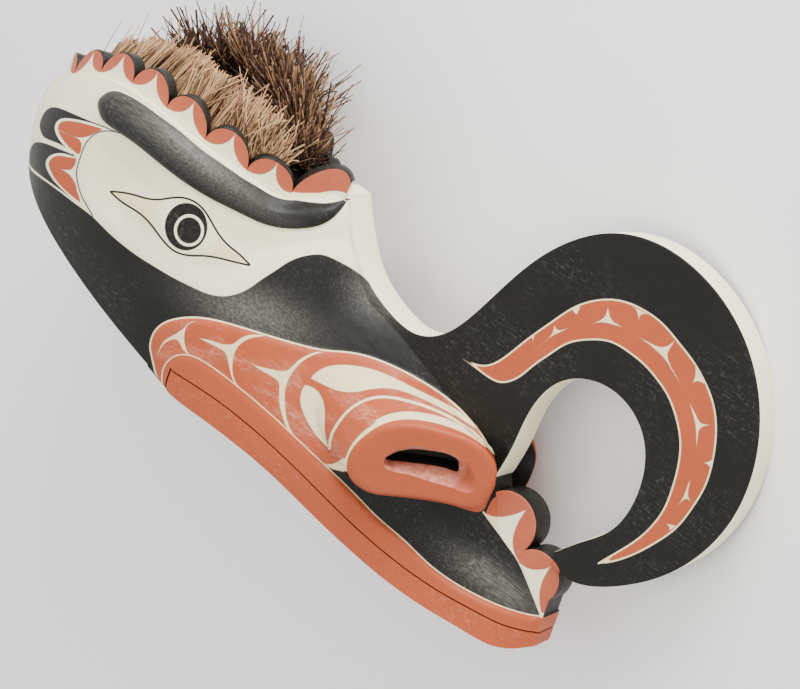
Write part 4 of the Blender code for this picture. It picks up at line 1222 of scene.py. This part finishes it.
def side_paint(paint):
    """The paint of the mask's sides: every outline of the design, laid on in order."""
    material, tree, shader = new_material("painted_design", 0.22)
    white, black, red = paint.white, paint.black, paint.red
    cream, pale, ink = paint.cream, paint.pale_red, paint.outline

    def get(name):
        return stored(tree, name)

    ground = inside(tree, get("white_ground"))
    nape = inside(tree, get("nape"))
    away = inside(tree, get("facing"), 0.055, 0.012)
    ground = calc(tree, "ADD", both(tree, ground, opposite(tree, away)),
                  both(tree, opposite(tree, nape), away))
    lids = either(
        tree,
        both(tree, along_edge(tree, get("lid_top"), 1.05), inside(tree, get("lid_low"), 0.6)),
        both(tree, along_edge(tree, get("lid_low"), 1.05), inside(tree, get("lid_top"), 0.6)),
    )
    eye = both(tree, inside(tree, get("lid_top")), inside(tree, get("lid_low")))
    tinted = both(tree, eye, ramp(tree, get("pupil"), 6.0, 16.0))
    colour = blend_colours(tree, both(tree, tinted, 0.8), white, cream)
    socket_line = along_edge(tree, get("socket_edge"), 0.65)
    arches = both(tree, inside(tree, get("arch_outer")), opposite(tree, inside(tree, get("arch_inner"))))
    ring = both(tree, along_edge(tree, get("eye_ring"), 1.35))
    pupil = both(tree, inside(tree, get("pupil")), opposite(tree, ring))
    front = opposite(tree, away)
    dark = either(tree, either(tree, lids, socket_line), either(tree, arches, pupil))
    dark = either(tree, dark, inside(tree, get("brow_band")))
    dark = both(tree, dark, front)
    colour = blend_colours(tree, ground, black, colour)
    colour = blend_colours(tree, dark, colour, black)
    blackness = either(tree, opposite(tree, ground), dark)

    reds = both(tree, inside(tree, get("cheek_red")), front)
    colour = blend_colours(tree, reds, colour, red)

    lips, band, nostril = get("red_lips"), get("lip_band"), get("nostril_ring")
    above_band = opposite(tree, inside(tree, band, 0.4))
    lip_area = either(tree, inside(tree, lips), inside(tree, band))
    wash = noise(tree, place(tree, (20, 30, 55)), 1.0, 4.0, 0.6)
    hairs = noise(tree, place(tree, (140, 500, 900)), 1.0, 2.0, 0.6)
    chalk = both(tree, ramp(tree, wash, 0.46, 0.66), ramp(tree, hairs, 0.35, 0.65),
                 inside(tree, lips, -5, 8), above_band)
    lip_red = blend_colours(tree, calc(tree, "MULTIPLY", chalk, 0.50), red, pale)
    # Painted sheen: the black is lightened to grey in hatched strokes where the highlights fall
    hatch = ramp(tree, noise(tree, place(tree, (60, 900, 700)), 1.0, 2.0, 0.6), 0.34, 0.72, 0.35, 1.0)
    sheen = both(tree, get("sheen_and_wear"), blackness, hatch, 0.62)
    colour = blend_colours(tree, sheen, colour, paint.sheen_and_worn_black)
    colour = blend_colours(tree, lip_area, colour, lip_red)
    outline = both(tree, along_edge(tree, calc(tree, "ADD", lips, 0.4), 0.75), above_band,
                   opposite(tree, inside(tree, nostril, 3.0)))
    band_line = both(tree, along_edge(tree, band, 0.6), 0.85, front)
    colour = blend_colours(tree, either(tree, outline, band_line), colour, cream)

    stripe = along_edge(tree, get("cream_stripe"), CREAM_STRIPE_HALF)
    stripe = both(tree, stripe, inside(tree, get("stripe_span")))
    creams = either(tree, inside(tree, get("cream")), stripe)
    creams = both(tree, creams, inside(tree, lips, 2.0), opposite(tree, inside(tree, nostril)))
    from_stripe = calc(tree, "SUBTRACT", calc(tree, "ABSOLUTE", get("cream_stripe")), CREAM_STRIPE_HALF)
    stripe_edge = both(tree, along_edge(tree, from_stripe, 0.3), inside(tree, get("stripe_span")))
    edges = both(tree, either(tree, along_edge(tree, get("cream"), 0.35), stripe_edge),
                 inside(tree, lips, 1.0), opposite(tree, inside(tree, nostril)))
    colour = blend_colours(tree, creams, colour, cream)
    colour = blend_colours(tree, calc(tree, "MULTIPLY", edges, 0.55), colour, ink)
    colour = blend_colours(tree, both(tree, inside(tree, nostril), opposite(tree, front)), colour, black)
    colour = blend_colours(tree, both(tree, inside(tree, nostril), front), colour, red)

    stripe_area = inside(tree, get("curl"))
    rim = along_edge(tree, calc(tree, "ADD", get("curl"), 0.2), 0.8)
    colour = blend_colours(tree, stripe_area, colour, red)
    colour = blend_colours(tree, rim, colour, cream)

    nearest = either(tree, innermost(tree, "trigon_odd"), innermost(tree, "trigon_even"))
    on_red = either(tree, either(tree, both(tree, lip_area, above_band), reds), stripe_area)
    trigons = both(tree, opposite(tree, inside(tree, nearest, 0.0, 0.4)), on_red,
                   opposite(tree, inside(tree, nostril)))
    colour = blend_colours(tree, trigons, colour, blend_colours(tree, reds, cream, white))
    trigon_edge = both(tree, along_edge(tree, nearest, 0.3), on_red, 0.45)
    colour = blend_colours(tree, trigon_edge, colour, ink)

    where = tree.nodes.new("ShaderNodeSeparateXYZ")
    put(tree, where.inputs[0], place(tree))
    blunt = both(tree, ramp(tree, where.outputs["X"], BLUNT_FROM, BLUNT_FROM + 0.0006),
                 ramp(tree, where.outputs["Z"], BLUNT_TOP, BLUNT_TOP + 0.0006, 1.0, 0.0))
    colour = blend_colours(tree, blunt, colour, red)
    lobes = both(tree, inside(tree, get("lobe_foot"), 0.0), inside(tree, get("lobe_face")),
                 opposite(tree, blunt))
    petals = opposite(tree, inside(tree, get("petal")))
    colour = blend_colours(tree, lobes, colour, blend_colours(tree, petals, cream, red))
    foot_line = both(tree, along_edge(tree, get("lobe_foot"), 0.7), inside(tree, get("lobe_face"), 3.0))
    foot_line = both(tree, foot_line, opposite(tree, inside(tree, nostril)), opposite(tree, blunt))
    colour = blend_colours(tree, foot_line, colour, cream)
    redness = either(tree, either(tree, either(tree, lip_area, stripe_area), reds), lobes)
    bare_black = both(tree, blackness, opposite(tree, redness))
    # The grey rubs of the black: its wear all over, and more where the painted sheen lies
    sheen_and_wear_share = calc(tree, "ADD", paint.black_rub, calc(tree, "MULTIPLY", get("sheen_and_wear"), 0.4))
    use_group(
        tree, "hand_paint", shader,
        Colour=colour,
        Rubbed_Colour=blend_colours(tree, bare_black, colour, paint.sheen_and_worn_black),
        Rub=calc(tree, "MULTIPLY", bare_black, sheen_and_wear_share),
        Unevenness=0.16,
        Roughness=ramp(tree, blackness, 0.0, 1.0, 0.56, paint.black_roughness),
        Relief=0.35,
    )
    return material


def plain_paint(name, colour, sheen_and_wear, sheen_and_wear_share, roughness, unevenness=0.12, relief=0.35):
    """One colour of paint, brushed on and lightly worn."""
    material, tree, shader = new_material(name, 0.22)
    use_group(tree, "hand_paint", shader, Colour=colour, Rubbed_Colour=sheen_and_wear, Rub=sheen_and_wear_share,
              Unevenness=unevenness, Roughness=roughness, Relief=relief)
    return material


def crest_paint(paint):
    """White scallops with two red petals each."""
    material, tree, shader = new_material("crest_paint")
    petal = stored(tree, "petal")
    red = opposite(tree, inside(tree, petal))
    colour = blend_colours(tree, red, paint.white, paint.red)
    colour = blend_colours(tree, both(tree, along_edge(tree, petal, 0.3), 0.5), colour, paint.outline)
    below = opposite(tree, inside(tree, stored(tree, "lobe_foot"), 0.7))
    colour = blend_colours(tree, below, colour, paint.black)
    use_group(tree, "hand_paint", shader, Colour=colour, Rubbed_Colour=paint.cream, Rub=0.08,
              Unevenness=0.16, Roughness=0.56, Relief=0.35)
    return material


def pocket_paint(paint):
    """Red worn pale on the sill of a nostril, and black further in."""
    material, tree, shader = new_material("nostril_pocket")
    deep = stored(tree, "depth")
    where = tree.nodes.new("ShaderNodeSeparateXYZ")
    put(tree, where.inputs[0], place(tree))
    sill = calc(tree, "MULTIPLY", ramp(tree, where.outputs["X"], 0.296, 0.304, 1.0, 0.0),
                ramp(tree, noise(tree, place(tree), 160.0, 4.0, 0.7), 0.36, 0.60, 0.15, 0.62))
    dusty = blend_colours(tree, sill, paint.red, paint.pale_red)
    colour = blend_colours(tree, ramp(tree, deep, 11.5, 13.0), dusty, paint.black)
    use_group(tree, "hand_paint", shader, Colour=colour, Rubbed_Colour=paint.pale_red, Rub=0.15,
              Unevenness=0.25, Roughness=0.65, Relief=0.5)
    return material


def bare_cedar(paint):
    """The unpainted wood of the hollows and the rim."""
    material, tree, shader = new_material("bare_cedar", 0.3)
    use_group(tree, "bare_cedar_grain", shader, Wood=paint.cedar, Dark_Wood=paint.dark_cedar, Relief=0.6)
    return material


def mask_finishes(paint):
    """The carved mask's materials, in the order of its finish numbers."""
    if "hand_paint" not in bpy.data.node_groups:
        hand_paint_group()
        cedar_group()
    return [
        side_paint(paint),
        plain_paint("white_edge_paint", paint.white, paint.cream, 0.25, 0.56),
        crest_paint(paint),
        plain_paint("black_paint", paint.black, paint.sheen_and_worn_black, 0.25, paint.black_roughness),
        bare_cedar(paint),
        pocket_paint(paint),
    ]


def dress(thing, materials):
    """Puts materials in an object's slots, in order."""
    for index, material in enumerate(materials):
        thing.data.materials[index] = material


def colour_property(name, description, default):
    """A paint colour that a user may change."""
    return bpy.props.FloatVectorProperty(
        name=name, description=description, default=default, subtype="COLOR", size=3, min=0.0, max=1.0
    )


def length_property(name, description, default):
    """A length in metres that a user may change."""
    return bpy.props.FloatProperty(name=name, description=description, default=default,
                                   min=0.0, max=0.2, precision=4, unit="LENGTH")


class CarvingSizes(bpy.types.PropertyGroup):
    """How far the carved forms stand out or sink in."""

    brow_rise: length_property("Brow rise", "How far the brow stands out", 0.0085)
    socket_depth: length_property("Socket depth", "How deep the eye's socket is hollowed", 0.0065)
    eye_rise: length_property("Eye rise", "How far the eye swells in its socket", 0.0065)
    lip_rise: length_property("Lip rise", "How far the red lips stand out", 0.0045)
    band_rise: length_property("Lip band rise", "How far the lip's band stands over the lips", 0.0015)
    nostril_swell: length_property("Nostril swell", "How far a nostril's mouth swells", 0.0045)


class PaintColours(bpy.types.PropertyGroup):
    """The colours of the paint and the wood."""

    white: colour_property("White", "Ground colour", (0.88, 0.83, 0.58))
    cream: colour_property("Cream", "Trigons and lines", (0.86, 0.73, 0.42))
    black: colour_property("Black", "Main dark colour", (0.005, 0.0047, 0.0033))
    # Grey both for the painted sheen on the black and for its wear
    sheen_and_worn_black: colour_property("Rubbed black", "Where the black is worn grey", (0.22, 0.215, 0.185))
    red: colour_property("Red", "Lips, petals and stripe", (0.40, 0.077, 0.026))
    pale_red: colour_property("Pale red", "Chalky places in the red", (0.70, 0.33, 0.23))
    outline: colour_property("Outline", "Thin edge of the cream shapes", (0.16, 0.06, 0.03))
    cedar: colour_property("Cedar", "Bare wood", (0.50, 0.30, 0.165))
    dark_cedar: colour_property("Dark cedar", "Bare wood's dark grain", (0.25, 0.125, 0.06))
    black_rub: bpy.props.FloatProperty(
        name="Black wear", description="Share of grey rubbing on the black", default=0.20,
        min=0.0, max=1.0, subtype="FACTOR")
    black_roughness: bpy.props.FloatProperty(
        name="Black roughness", description="How dull the black is", default=0.46,
        min=0.0, max=1.0, subtype="FACTOR")


class StrapSizes(bpy.types.PropertyGroup):
    """The leather hinge straps."""

    width: length_property("Width", "Width of a strap", 0.018)
    thickness: length_property("Thickness", "Thickness of the leather", 0.0036)
    nail: length_property("Nail head", "Radius of a nail's head", 0.0032)
    colour: colour_property("Leather", "Colour of the leather", (0.022, 0.018, 0.015))


class BarkSizes(bpy.types.PropertyGroup):
    """The fringes of shredded cedar bark."""

    strands: bpy.props.IntProperty(name="Strands", description="Strands in each row", default=2300,
                                   min=10, max=8000)
    strays: bpy.props.IntProperty(name="Strays", description="Long strands that stand out", default=46,
                                  min=0, max=400)
    length: length_property("Length", "Length of a strand", 0.056)
    far_length: bpy.props.FloatProperty(
        name="Left row", description="How long the left row's strands are against the right row's",
        default=1.28, min=0.5, max=2.0, subtype="FACTOR")
    width: length_property("Width", "Width of a strand", 0.0023)
    pale: colour_property("Pale bark", "The lightest strands", (0.52, 0.33, 0.17))
    tan: colour_property("Tan bark", "Most strands", (0.29, 0.155, 0.075))
    dark: colour_property("Dark bark", "The darkest strands", (0.035, 0.016, 0.010))


class StageSizes(bpy.types.PropertyGroup):
    """The floor and the lamps."""

    floor_colour: colour_property("Floor", "Colour of the floor", (0.92, 0.92, 0.91))
    key_power: bpy.props.FloatProperty(name="Key lamp", description="Power of the key lamp, in watts",
                                       default=64.0, min=0.0, max=500.0)
    fill: bpy.props.FloatProperty(name="Fill", description="Strength of the light from all round",
                                  default=1.55, min=0.0, max=5.0)


class MASK_OT_carved_mask(bpy.types.Operator):
    """Carve and paint the upper mask"""

    bl_idname = "mask.carved_mask"
    bl_label = "Carved mask"
    bl_options = {"REGISTER", "UNDO"}

    def execute(self, context):
        sizes, paint = context.scene.mask_carving, context.scene.mask_paint
        mask = body_skin("painted_mask", BODY_COLUMNS, BODY_ROWS, sizes)
        plate = [*even_spline(PLATE_OUTER, PLATE_STEP), *even_spline(PLATE_INNER, PLATE_STEP), *PLATE_ROOT]
        combine(mask, rounded_slab("plate_form", plate, PLATE_HALF, PLATE_STEP), "UNION")
        combine(mask, scalloped_wall(), "UNION")
        combine(mask, rounded_slab("lobe_form", lobe_outline(0.0022), BEAK_CREST_HALF, 0.0022,
                                   CREST_PAINT, DARK_PAINT), "UNION")
        combine(mask, nostrils(sizes.nostril_swell), "UNION")
        combine(mask, arched_hollow(), "DIFFERENCE")
        for side in (-1, 1):
            combine(mask, nostril_pocket(side), "DIFFERENCE")
        # The notch's faces are black: partly the mouth's paint, partly painted shade for the dark gap between
        # lip and jaw
        combine(mask, below_lip_line("notch_cut", 0.0, 0.0016, DARK_PAINT), "DIFFERENCE")
        triangulated(mask)
        upright = coordinates(mask.data)
        store_design(mask.data, upright)
        store_petals(mask.data, upright)
        turned_away(mask.data, upright)
        facing = np.array([0.46, 1.0]) / math.hypot(0.46, 1.0)
        rim = np.column_stack([np.full(len(upright), 0.270), np.full(len(upright), 0.065)])
        flat = np.column_stack([upright[:, 0], np.abs(upright[:, 1])])
        store(mask.data, "depth", 1000 * np.einsum("ij,j->i", rim - flat, facing))
        lay_on_floor(mask)
        dress(mask, mask_finishes(paint))
        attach(mask, "mask")
        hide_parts("carved_mask")
        return {"FINISHED"}


class MASK_OT_lower_jaw(bpy.types.Operator):
    """Carve and paint the hinged lower jaw"""

    bl_idname = "mask.lower_jaw"
    bl_label = "Lower jaw"
    bl_options = {"REGISTER", "UNDO"}

    def execute(self, context):
        paint = context.scene.mask_paint
        jaw = body_skin("painted_jaw", JAW_COLUMNS, JAW_ROWS, context.scene.mask_carving)
        combine(jaw, below_lip_line("jaw_keep", LIP_GAP, 0.0, SIDE_PAINT), "INTERSECT")
        combine(jaw, jaw_trough(), "DIFFERENCE")
        triangulated(jaw)
        lay_on_floor(jaw)
        red = plain_paint("jaw_paint", paint.red, paint.pale_red, 0.25, 0.56, 0.22)
        wood = bpy.data.materials["bare_cedar"]
        dress(jaw, [red, red, red, red, wood, red])
        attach(jaw, "jaw")
        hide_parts("lower_jaw")
        return {"FINISHED"}


def underside(x):
    """The half width and height of the body's lower edge at a place."""
    edge = side_surface(240, 2)[:, 0]
    return np.interp(x, edge[:, 0], edge[:, 1]), np.interp(x, edge[:, 0], edge[:, 2])


def strap_strip(side, sizes):
    """A leather strip from behind the hinge to the jaw, with rounded edges; the nails at its ends are made
    apart.
    """
    start, end = -0.0030 - 0.0340, -0.0010 + 0.0580
    skin = Skin()
    rings = []
    lips = np.linspace(0, 2 * math.pi, 20, endpoint=False)
    for x in np.concatenate([[start], np.linspace(start, end, 60), [end]]):
        half, z = underside(x)
        middle = half - 0.003 - 0.009
        closing = min(1.0, math.sqrt(max(0.0, min(x - start, end - x)) / 0.004) * 0.9 + 0.1)
        ring = []
        for a in lips:
            c, s = math.cos(a), math.sin(a)
            y = middle + sizes.width / 2 * closing * math.copysign(abs(c) ** 0.25, c)
            h = z - 0.0006 - sizes.thickness / 2 + sizes.thickness / 2 * math.copysign(abs(s) ** 0.5, s)
            ring.append((x, side * y, h))
        rings.append(ring)
    skin.rings(rings, 0, 0, 0)
    strip = skin.made(f"leather_hinge_{'right' if side < 0 else 'left'}", 2)
    return strip, start, end


def nail_head(x, side, sizes):
    """A domed nail head on the underside of a strap."""
    half, z = underside(x)
    bpy.ops.object.select_all(action="DESELECT")
    centre = (x, side * (half - 0.012), z - 0.0006 - sizes.thickness)
    bpy.ops.mesh.primitive_uv_sphere_add(segments=16, ring_count=8, radius=sizes.nail, location=centre)
    nail = bpy.context.active_object
    nail.scale = (1.0, 1.0, 0.42)
    bpy.ops.object.transform_apply(location=True, rotation=True, scale=True)
    nail.data.materials.append(placeholder())
    nail.data.materials.append(placeholder())
    nail.data.polygons.foreach_set("material_index", [1] * len(nail.data.polygons))
    return nail


class MASK_OT_hinge_straps(bpy.types.Operator):
    """Nail on the two leather straps that hinge the jaw"""

    bl_idname = "mask.hinge_straps"
    bl_label = "Hinge straps"
    bl_options = {"REGISTER", "UNDO"}

    def execute(self, context):
        sizes, paint = context.scene.mask_strap, context.scene.mask_paint
        leather, tree, shader = new_material("black_leather", 0.4)
        use_group(tree, "hand_paint", shader, Colour=sizes.colour, Rubbed_Colour=(0.10, 0.075, 0.055),
                  Rub=0.5, Unevenness=0.3, Roughness=0.55, Relief=0.8)
        iron, tree, shader = new_material("iron_nail", 0.6)
        use_group(tree, "hand_paint", shader, Colour=(0.06, 0.05, 0.045), Rubbed_Colour=(0.22, 0.11, 0.05),
                  Rub=0.6, Unevenness=0.3, Roughness=0.42, Relief=0.5)
        for side in (-1, 1):
            strip, start, end = strap_strip(side, sizes)
            nails = [nail_head(x, side, sizes)
                     for x in (start + 0.008, start + 0.022, end - 0.022, end - 0.008)]
            bpy.ops.object.select_all(action="DESELECT")
            for nail in nails:
                nail.select_set(True)
            strip.select_set(True)
            context.view_layer.objects.active = strip
            bpy.ops.object.join()
            lay_on_floor(strip)
            dress(strip, [leather, iron])
            where = "right" if side < 0 else "left"
            half, z = underside(HINGE_X)
            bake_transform(strip)
            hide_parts(f"hinge_strap_{where}", f"hinge_strap_{where}_tab")
        return {"FINISHED"}


def bark_strand(root, along, across, length, width, bend, tint, steps=3):
    """A thin split of bark: a three-sided strip that bends a little and is cut off square."""
    points, faces = [], []
    thin = np.cross(along, across)
    for k in range(steps + 1):
        t = k / steps
        middle = root + along * (length * t) + bend * (length * t * t)
        wide = width * (1 - 0.25 * t)
        points += [middle - across * wide / 2, middle + across * wide / 2, middle + thin * wide * 0.5]
    for k in range(steps):
        a = 3 * k
        for j in range(3):
            faces.append((a + j, a + (j + 1) % 3, a + 3 + (j + 1) % 3, a + 3 + j))
    faces += [(2, 1, 0), (3 * steps, 3 * steps + 1, 3 * steps + 2)]
    return points, faces, [tint] * len(points)


def bark_row(side, sizes):
    """A row of bark strands along the inside of one half of the crest.

    The right row lies in flat combed bundles. The left row and both front ends are unruly.
    """
    dice = np.random.default_rng(11 if side < 0 else 12)
    share = np.linspace(0, 1, 400)
    line, facing, length = crest_line(share)
    floor = line[::-1]
    first, last = 0.066 / length, (0.396 if side < 0 else 0.350) / length
    points, faces, tints, strays = [], [], [], sizes.strays
    bundle_count = 64
    bundles = np.sort(dice.uniform(first, last, bundle_count))
    bundle_lean = dice.normal(0.0, 0.16, bundle_count)
    # The left row takes the darker tints: painted shade, for the row that stands behind the right one
    low_tone, high_tone = (0.30, 0.85) if side < 0 else (0.0, 0.45)
    bundle_tone = dice.uniform(low_tone, high_tone, bundle_count)
    bundle_long = dice.uniform(0.84, 1.04, bundle_count)
    for number in range(sizes.strands + strays):
        stray = number >= sizes.strands
        at = dice.uniform(first, last)
        deep = dice.uniform(0, 1) ** 1.1
        x, w = (np.interp(at, share, line[:, k]) for k in range(2))
        fx, fw = (np.interp(at, share, facing[:, k]) for k in range(2))
        inward = np.array([fx, fw, 0.0])
        start = CREST_THICK + 0.0035 + 0.020 * deep
        root = np.array([x + start * fx, max(w + start * fw, 0.004), 0.0])
        root[2] = np.interp(root[0], floor[:, 0], floor[:, 2]) + 0.002
        edge = min(at - first, last - at) * length / 0.05
        tall = 0.62 + 0.38 * smooth_step(edge)
        k = int(np.argmin(np.abs(bundles - at)))
        wild = max(0.0 if side < 0 else 0.8, float(smooth_step((first + 0.10 / length - at) * length / 0.10)))
        forward = np.array([fw, -fx, 0.0])
        lean = 0.46 + 0.20 * deep + dice.normal(0, 0.06 + 0.24 * wild)
        slant = bundle_lean[k] * (1 + wild) + dice.normal(0, 0.05 + 0.30 * wild)
        if stray:
            lean, slant = dice.uniform(-0.2, 0.9), dice.normal(0, 0.45)
        along = np.array([0.0, 0.0, 1.0]) + lean * inward + slant * forward
        along /= np.linalg.norm(along)
        long = sizes.length * tall * bundle_long[k] * dice.uniform(0.86, 1.03)
        if side > 0:
            long *= sizes.far_length
        if stray:
            long = sizes.length * dice.uniform(1.05, 1.30)
        across = np.cross(along, dice.normal(0, 1, 3))
        across /= np.linalg.norm(across)
        bend = (0.10 * inward + 0.08 * forward * dice.normal(0, 1)) * dice.uniform(0.2, 1.2)
        bend += 0.30 * wild * dice.normal(0, 1, 3)
        wide = sizes.width * dice.uniform(0.5, 1.3)
        tint = np.clip(bundle_tone[k] + dice.normal(0, 0.16), 0, 1)
        if stray:
            wide, tint = sizes.width * dice.uniform(0.5, 0.8), dice.uniform(0.3, 1.0)
        made, joined, colour = bark_strand(root, along, across, long, wide, bend, tint)
        base = len(points)
        for px, py, pz in made:
            points.append((px, side * max(py, 0.002), pz))
        faces += [tuple(base + i for i in (face if side > 0 else face[::-1])) for face in joined]
        tints += colour
    mesh = bpy.data.meshes.new("bark")
    mesh.from_pydata([tuple(float(c) for c in p) for p in points], [], faces)
    store(mesh, "tint", tints)
    mesh.materials.append(placeholder())
    row = bpy.data.objects.new(f"shredded_bark_{'right' if side < 0 else 'left'}", mesh)
    bpy.context.scene.collection.objects.link(row)
    return row


class MASK_OT_bark_fringes(bpy.types.Operator):
    """Set the two rows of shredded bark inside the crest"""

    bl_idname = "mask.bark_fringes"
    bl_label = "Bark fringes"
    bl_options = {"REGISTER", "UNDO"}

    def execute(self, context):
        sizes = context.scene.mask_bark
        bark, tree, shader = new_material("shredded_bark", 0.25)
        tint = stored(tree, "tint")
        fibre = noise(tree, place(tree, (900, 900, 160)), 1.0, 2.0, 0.6)
        mixed = calc(tree, "ADD", tint, calc(tree, "MULTIPLY", calc(tree, "SUBTRACT", fibre, 0.5), 0.5))
        colour = blend_colours(tree, ramp(tree, mixed, 0.10, 0.55), sizes.dark, sizes.tan)
        colour = blend_colours(tree, ramp(tree, mixed, 0.50, 1.0), colour, sizes.pale)
        put(tree, shader["Base Color"], colour)
        put(tree, shader["Roughness"], ramp(tree, fibre, 0.3, 0.7, 0.7, 0.95))
        for side in (-1, 1):
            row = bark_row(side, sizes)
            lay_on_floor(row, 180.0)
            row.data.materials[0] = bark
            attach(row, "mask")
            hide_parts(f"bark_fringe_{'right' if side < 0 else 'left'}")
        return {"FINISHED"}


def area_lamp(name, direction, distance, size, power, target):
    """A large soft lamp that looks at a target from a direction."""
    spot = Vector(target) + Vector(direction).normalized() * distance
    bpy.ops.object.light_add(type="AREA", location=spot)
    lamp = bpy.context.active_object
    lamp.name = name
    lamp.data.shape = "DISK"
    lamp.data.size = size
    lamp.data.energy = power
    lamp.rotation_mode = "QUATERNION"
    lamp.rotation_quaternion = (Vector(target) - spot).to_track_quat("-Z", "Y")
    return lamp


class MASK_OT_stage(bpy.types.Operator):
    """Lay the floor, set the lamps and aim the camera"""

    bl_idname = "mask.stage"
    bl_label = "Stage"
    bl_options = {"REGISTER", "UNDO"}

    def execute(self, context):
        sizes = context.scene.mask_stage
        bpy.ops.object.select_all(action="DESELECT")
        bpy.ops.mesh.primitive_plane_add(size=40.0, location=(0.0, 0.0, -0.0002))
        floor = context.active_object
        floor.name = "floor"
        material, _, shader = new_material("floor", 0.2)
        shader["Base Color"].default_value = (*sizes.floor_colour, 1.0)
        shader["Roughness"].default_value = 0.9
        floor.data.materials.append(material)
        world = bpy.data.worlds.new("soft_light")
        world.use_nodes = True
        world.node_tree.nodes["Background"].inputs["Color"].default_value = (1, 1, 1, 1)
        world.node_tree.nodes["Background"].inputs["Strength"].default_value = sizes.fill
        context.scene.world = world
        matrix = lying_matrix()
        aim, right, up, towards = (Vector(v) for v in design_axes())
        turn = matrix.to_3x3()
        target = matrix @ aim
        key = turn @ (0.55 * towards + 0.75 * up + 0.15 * right)
        area_lamp("key_lamp", key, 1.9, 1.1, sizes.key_power, target)
        bpy.ops.object.camera_add()
        camera = context.active_object
        camera.name = "camera"
        pose = Matrix.Identity(4)
        for column, axis in enumerate((right, up, towards)):
            for row in range(3):
                pose[row][column] = (turn @ axis)[row]
        pose.translation = matrix @ (aim + towards * EYE_AWAY)
        camera.matrix_world = pose
        camera.data.sensor_width = 36.0
        camera.data.lens = DESIGN_SCALE * camera.data.sensor_width / DESIGN_SIZE[0]
        camera.data.clip_start, camera.data.clip_end = 0.05, 60.0
        context.scene.camera = camera
        return {"FINISHED"}


class MASK_PT_sidebar(bpy.types.Panel):
    """The mask's pieces and their sizes and colours"""

    bl_idname = "MASK_PT_sidebar"
    bl_label = "Crooked-beak mask"
    bl_space_type = "VIEW_3D"
    bl_region_type = "UI"
    bl_category = "Mask"

    def draw(self, context):
        for settings, operator in PIECES:
            box = self.layout.box()
            box.operator(operator)
            group_of = getattr(context.scene, settings)
            for name in group_of.__class__.__annotations__:
                box.prop(group_of, name)


PIECES = (
    ("mask_carving", "mask.carved_mask"),
    ("mask_paint", "mask.lower_jaw"),
    ("mask_strap", "mask.hinge_straps"),
    ("mask_bark", "mask.bark_fringes"),
    ("mask_stage", "mask.stage"),
)
SETTINGS = (
    ("mask_carving", CarvingSizes),
    ("mask_paint", PaintColours),
    ("mask_strap", StrapSizes),
    ("mask_bark", BarkSizes),
    ("mask_stage", StageSizes),
)
OPERATORS = (
    MASK_OT_carved_mask,
    MASK_OT_lower_jaw,
    MASK_OT_hinge_straps,
    MASK_OT_bark_fringes,
    MASK_OT_stage,
)


def register():
    """Adds the settings, the operators and the panel."""
    for name, settings in SETTINGS:
        bpy.utils.register_class(settings)
        setattr(bpy.types.Scene, name, bpy.props.PointerProperty(type=settings))
    for operator in OPERATORS:
        bpy.utils.register_class(operator)
    bpy.utils.register_class(MASK_PT_sidebar)


def unregister():
    """Takes them all away again."""
    bpy.utils.unregister_class(MASK_PT_sidebar)
    for operator in reversed(OPERATORS):
        bpy.utils.unregister_class(operator)
    for name, settings in reversed(SETTINGS):
        delattr(bpy.types.Scene, name)
        bpy.utils.unregister_class(settings)


def main():
    """Makes every piece in order."""
    register()
    bpy.ops.mask.carved_mask()
    bpy.ops.mask.lower_jaw()
    bpy.ops.mask.hinge_straps()
    bpy.ops.mask.bark_fringes()
    bpy.ops.mask.stage()
    bpy.context.view_layer.update()


if __name__ == "__main__":
    main()
